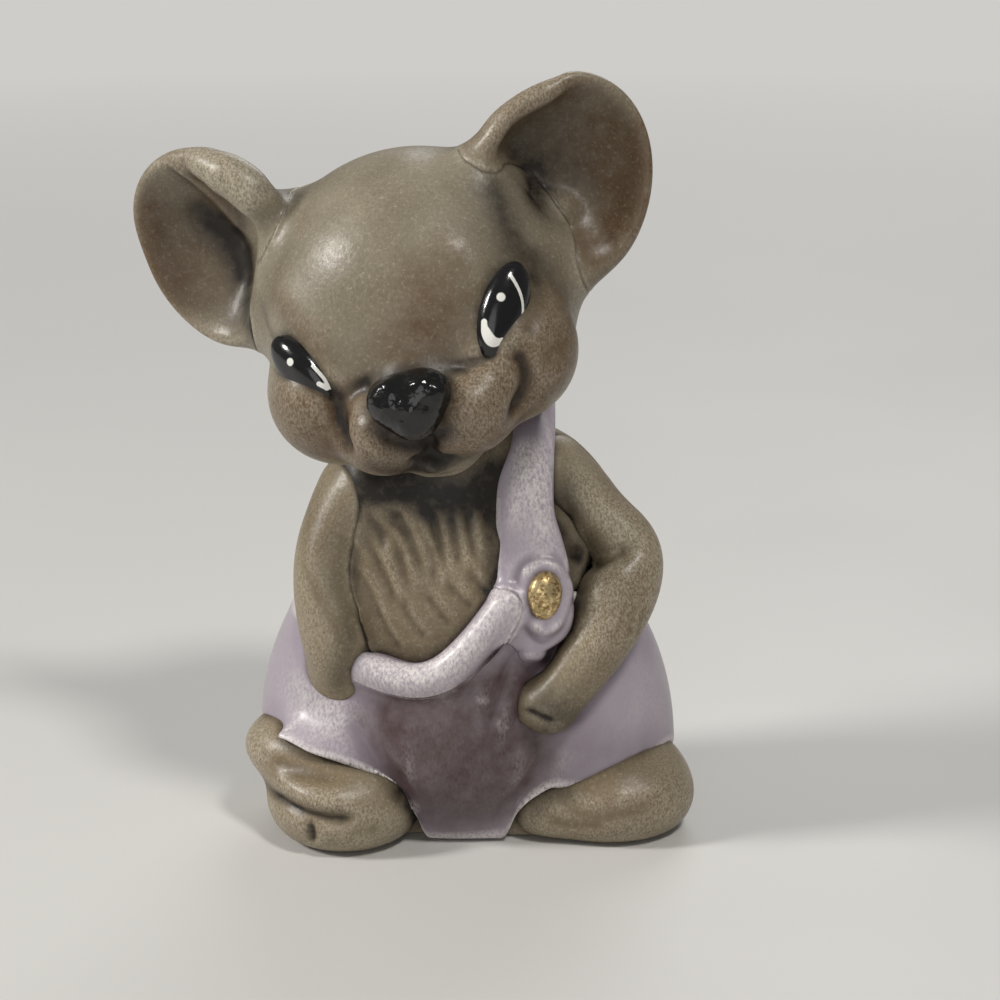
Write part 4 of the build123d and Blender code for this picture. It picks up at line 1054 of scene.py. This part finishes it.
class MOUSE_OT_overalls(bpy.types.Operator):
    """Drape the overalls round the hips, with folded leg edges and a full belly panel"""
    bl_idname = "mouse.overalls"
    bl_label = "Overalls"

    def edges(self, columns, cloth, skin_at, draped):
        """How high both edges run all the way round, and where the drawing decides."""
        settling, halvings, spreading, smoothing = 25, 22, 60, 8
        front = np.sin(np.arange(columns) * 2 * math.pi / columns) < 0
        top, foot = np.full(columns, 15.0), np.full(columns, 4.0)
        for _ in range(settling):
            x = skin_at(top, cloth, TRUNK)[:, 0]
            top = (top + np.where(front, height_of(EDGE_FRONT, x), height_of(EDGE_BACK, x))) / 2
            x = skin_at(foot, cloth, TRUNK)[:, 0]
            edge = np.where(x < 0, height_of(LEG_RIGHT, x), height_of(LEG_LEFT, x))
            edge = np.where((x > LEG_RIGHT[-1][0]) & (x < LEG_LEFT[0][0]), 0.15, edge)
            foot = (foot + edge) / 2
        # In front the leg edges follow the drawing, over the ankle too
        low, high = np.full(columns, -0.2), np.full(columns, 11.0)
        for _ in range(halvings):
            middle = (low + high) / 2
            u, v = drawn(skin_at(middle, cloth, draped))
            right, left = (np.interp(u, *zip(*line)) for line in (LEG_LINE_RIGHT, LEG_LINE_LEFT))
            below = v > np.where(u < sum(PANEL) / 2, right, left)
            low, high = np.where(below, middle, low), np.where(below, high, middle)
        u = drawn(skin_at(low, cloth, draped))[0]
        panel = front & (u >= PANEL[0]) & (u <= PANEL[1])
        shown = front & (u > LEGS_SHOWN[0]) & (u < LEGS_SHOWN[1]) & ~panel
        share = shown.astype(float)
        for _ in range(spreading):
            share = np.where(shown, share, (np.roll(share, 1) + share + np.roll(share, -1)) / 3)
        foot = np.where(panel, 0.1, foot * (1 - share) + low * share)
        for _ in range(smoothing):
            foot = (np.roll(foot, 1) + 2 * foot + np.roll(foot, -1)) / 4
        return foot, top, np.maximum(share, panel)

    def execute(self, context):
        cloth = context.scene.mouse_sizes.cloth / MM
        rows, columns, ring = ((190, 480, 3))
        shape = bmesh.new()
        section = bmesh.ops.create_circle(shape, segments=rows, radius=1)["verts"]
        bmesh.ops.rotate(shape, verts=section, cent=(0, 0, 0),
                         matrix=Matrix.Rotation(math.pi / 2, 3, "X"))
        bmesh.ops.translate(shape, verts=section, vec=(ring, 0, 0))
        bmesh.ops.spin(shape, geom=shape.verts[:] + shape.edges[:], cent=(0, 0, 0), axis=(0, 0, 1),
                       angle=2 * math.pi, steps=columns, use_merge=True)
        romper = Piece("romper", shape)
        x, y, z = romper.at.T
        place = np.arctan2(z, np.hypot(x, y) - ring) / math.pi
        column = np.round(np.arctan2(y, x) / (2 * math.pi) * columns).astype(int) % columns
        angles = np.arange(columns) * 2 * math.pi / columns
        ways = np.stack([np.cos(angles), np.sin(angles), np.zeros(columns)], 1)
        draped = TRUNK + [FOOT_RIGHT[1]]

        def skin_at(heights, outside, lumps, ways=ways):
            core = np.array((*CORE, 0)) + heights[:, None] * np.array((0, 0, 1.0))
            return skin_out(core, ways, lumps, outside)

        foot, top, share = self.edges(columns, cloth, skin_at, draped)
        # Each section: up the outside, round the upper fold, down inside and round the lower fold
        fold, inside = 0.84, 0.93
        depth = np.abs(place)
        outer = depth < inside
        stops = (fold, 0.855, 0.87, 0.885, 0.90, inside, 1.0)
        inset = np.interp(depth, stops, (0.40, 0.20, 0.06, 0.0, 0.05, 0.12, 0.0))
        outside = np.interp(depth, stops, (1.0, 0.95, 0.72, 0.30, -0.2, -0.6, -0.6)) * cloth
        within = (depth - inside) / (2 - 2 * inside)
        run = np.where(depth > inside, np.where(place > 0, 1 - within, within),
                       np.clip((place + fold) / (2 * fold), 0, 1))
        bottom = foot[column]
        up = bottom + inset + run * (top[column] - bottom - 2 * inset)
        over, under = (skin_at(up, outside, lumps, ways[column]) for lumps in (draped, TRUNK))
        drape = np.where(outer, share[column], 0)[:, None]
        romper.at = over * drape + under * (1 - drape)
        romper.turn_out()
        romper.soften(2)
        romper.mark(ROMPER_MARKS)
        edge = np.interp(depth, (0.76, 0.85, 0.9, 0.92), (0, 1.0, 1.0, 0))
        romper.paint["pale"] += np.where(outer, edge, 0)
        return {"FINISHED"}


class MOUSE_OT_trim(bpy.types.Operator):
    """Lay the strap over the shoulder, roll the hem of the bib and press on the button"""
    bl_idname = "mouse.trim"
    bl_label = "Strap, hem and button"

    def execute(self, context):
        sizes = context.scene.mouse_sizes
        cloth, hem = sizes.cloth / MM, sizes.hem / MM
        shoulder = skin_out(np.array((4.2, 0, 26.0)), np.array([(0, 0, 1.0)]), TRUNK)[0]
        route = [
            (on_trunk(1.5, 19.0, True, cloth), 2.4), (on_trunk(2.85, 26.0, True), 2.4),
            (tuple(shoulder), 2.4), (on_trunk(4.1, 27.0), 2.4), (on_trunk(4.7, 23.25), 2.4),
            (on_trunk(5.3, 19.5, False, cloth), 2.7), (on_trunk(5.2, 16.9, False, cloth), 2.3),
            (on_trunk(5.1, 15.6, False, cloth), 1.0),
        ]
        strap = new_roll("strap", [(place, wide, 1.0) for place, wide in route], (1, 0, 0), 96, 260,
                         flat=2.8)
        strap.mark(STRAP_HIGHLIGHT).nudge(20, (493, 505, 499, 505), (505, 560, 499, 560),
                                     (560, 540, 560, 540)).mark(STRAP_MARKS)
        # The hem is thinner where it starts, under the hand
        radii = hem * np.array((0.6, 0.92, 1.0, 1.0, 1.0, 1.0, 1.0))
        spots = [(met(u, v, cloth), radius, radius) for (u, v), radius in zip(HEM_LINE, radii)]
        roll = new_roll("bib_hem", spots, around=40, along=150)
        # The whole hem is lighter: dry brushing and painted highlight
        roll.paint["worn"] += 0.35
        roll.mark(HEM_MARKS)
        seat = np.array(on_trunk(5.9, 19.8, False, cloth + 0.7))
        button = new_bead("button", seat, straight_out(seat), (1, 0, 0), (1.4, 1.85, 1.0), 5)
        button.mark(BUTTON_MARKS)
        return {"FINISHED"}


class MOUSE_OT_paint(bpy.types.Operator):
    """Run the joins together, settle the wash with its painted shade and paint every piece"""
    bl_idname = "mouse.paint"
    bl_label = "Join and paint"

    def execute(self, context):
        colours = context.scene.mouse_colours
        reach = context.scene.mouse_sizes.joins / MM
        for first, second, share in (("ear_left", "head", 1.6), ("ear_right", "head", 1.3),
                                     ("arm_left", "trunk", 1.2), ("arm_right", "trunk", 1.4),
                                     ("bib_hem", "romper", 1.1), ("strap", "romper", 0.3),
                                     ("bib_hem", "strap", 0.6), ("tail", "romper", 0.35)):
            join(CLAY[first], CLAY[second], reach * share)
        shade_hollows()
        for names, material, slot in (
            (("head", "ear_left", "ear_right"), paint_bisque("head_taupe", colours), "bisque_grey"),
            (("trunk", "arm_left", "arm_right", "foot_left", "foot_right", "tail"),
             paint_bisque("body_olive", colours, 0.75), "bisque_grey"),
            (("romper", "strap", "bib_hem"), paint_cloth("romper_lavender", colours),
             "romper_lavender"),
            (("nose",), paint_gloss("nose_gloss", colours, colours.nose_black, 0.16), "nose_black"),
            (("eye_left", "eye_right"), paint_gloss("eye_gloss", colours, colours.eye_black, 0.01),
             "eye_black"),
            (("button",), paint_gold("button_gold", colours), "button_gold"),
        ):
            for name in names:
                settle(CLAY[name], material)
        return {"FINISHED"}


class MOUSE_OT_stage(bpy.types.Operator):
    """Set the pale table, the soft studio lamps and the camera"""
    bl_idname = "mouse.stage"
    bl_label = "Stage"

    def table(self, scene, colours):
        shape = bmesh.new()
        bmesh.ops.create_circle(shape, cap_ends=True, segments=96, radius=1.5)
        mesh = bpy.data.meshes.new("table_top")
        shape.to_mesh(mesh)
        shape.free()
        table = bpy.data.objects.new("table_top", mesh)
        scene.collection.objects.link(table)
        p = Paints("pale_table")
        cloud = p.grain(60.0, 2.0, 0.5)
        shaded = [0.94 * c for c in colours.floor]
        tone = p.blend(p.between(cloud, 0.3, 0.7), colours.floor, shaded)
        rough = p.between(cloud, 0.3, 0.7, 0.5, 0.6)
        mesh.materials.append(p.finish(tone, rough, ((cloud, 0.02),)))
        # Far from the figure the table passes into the plain backdrop
        away = p.node("ShaderNodeVectorMath", {0: p.place}, operation="LENGTH").outputs["Value"]
        path = p.node("ShaderNodeLightPath").outputs["Is Camera Ray"]
        far = p.sum("MULTIPLY", p.between(away, 0.10, 0.40), path)
        glow = p.node("ShaderNodeEmission", {"Color": (*colours.wall, 1), "Strength": 1.0})
        mixed = p.node("ShaderNodeMixShader", {0: far, 1: p.surface.outputs[0], 2: glow.outputs[0]})
        p.links.new(mixed.outputs[0], p.nodes["Material Output"].inputs["Surface"])

    def backdrop(self, scene, colours):
        scene.world = bpy.data.worlds.new("studio")
        n = Nodes(scene.world)
        path = n.node("ShaderNodeLightPath").outputs
        seen = n.sum("MAXIMUM", path["Is Camera Ray"], path["Is Transmission Ray"])
        n.links.new(n.blend(seen, (0.15, 0.15, 0.15), colours.wall),
                    n.nodes["Background"].inputs["Color"])

    def lamp(self, scene, name, place, size, power, colour=(1, 1, 1)):
        data = bpy.data.lights.new(name, "AREA")
        data.shape = "DISK"
        data.size, data.color = size, colour
        data.energy = power * scene.mouse_sizes.lamp
        thing = bpy.data.objects.new(name, data)
        thing.location = place
        aim = Vector((0, 0, 0.03)) - Vector(place)
        thing.rotation_euler = aim.to_track_quat("-Z", "Y").to_euler()
        scene.collection.objects.link(thing)

    def execute(self, context):
        scene = context.scene
        self.table(scene, scene.mouse_colours)
        self.backdrop(scene, scene.mouse_colours)
        self.lamp(scene, "left_soft_lamp", (-0.37, -0.08, 0.27), 0.10, 1.5, (1.0, 0.985, 0.95))
        self.lamp(scene, "upper_soft_lamp", (0.14, -0.20, 0.41), 0.08, 0.95, (1.0, 0.98, 0.94))
        self.lamp(scene, "front_fill_lamp", (-0.05, -0.45, 0.12), 0.30, 0.3)
        self.lamp(scene, "back_lamp", (0.10, 0.40, 0.30), 0.30, 0.6)
        data = bpy.data.cameras.new("camera")
        data.lens, data.sensor_width = 93.6, 36.0
        data.clip_start, data.clip_end = 0.01, 20.0
        camera = bpy.data.objects.new("camera", data)
        camera.location = tuple(SEEN_FROM * MM)
        camera.rotation_euler = (math.pi / 2 - SEEN_DOWN, 0, 0)
        scene.collection.objects.link(camera)
        scene.camera = camera
        scene.view_settings.view_transform = "Standard"
        return {"FINISHED"}


class MOUSE_PT_panel(bpy.types.Panel):
    """The steps that make the mouse, in order"""
    bl_idname = "MOUSE_PT_panel"
    bl_label = "Bisque mouse"
    bl_space_type = "VIEW_3D"
    bl_region_type = "UI"
    bl_category = "Mouse"

    def draw(self, context):
        for group in (context.scene.mouse_sizes, context.scene.mouse_colours):
            for key in group.__annotations__:
                self.layout.prop(group, key)
        for step in STEPS:
            self.layout.operator(step.bl_idname)


STEPS = (MOUSE_OT_head, MOUSE_OT_ears, MOUSE_OT_face, MOUSE_OT_trunk, MOUSE_OT_arms, MOUSE_OT_feet,
         MOUSE_OT_overalls, MOUSE_OT_trim, MOUSE_OT_tail, MOUSE_OT_paint, MOUSE_OT_stage)
CLASSES = (MouseColours, MouseSizes, *STEPS, MOUSE_PT_panel)


def register():
    for cls in CLASSES:
        bpy.utils.register_class(cls)
    bpy.types.Scene.mouse_colours = PointerProperty(type=MouseColours)
    bpy.types.Scene.mouse_sizes = PointerProperty(type=MouseSizes)


def unregister():
    del bpy.types.Scene.mouse_colours
    del bpy.types.Scene.mouse_sizes
    for cls in reversed(CLASSES):
        bpy.utils.unregister_class(cls)


def main():
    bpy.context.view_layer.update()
    register()
    bpy.ops.mouse.head()
    bpy.ops.mouse.ears()
    bpy.ops.mouse.face()
    bpy.ops.mouse.trunk()
    bpy.ops.mouse.arms()
    bpy.ops.mouse.feet()
    bpy.ops.mouse.overalls()
    bpy.ops.mouse.trim()
    bpy.ops.mouse.tail()
    bpy.ops.mouse.paint()
    bpy.ops.mouse.stage()


if __name__ == "__main__":
    main()
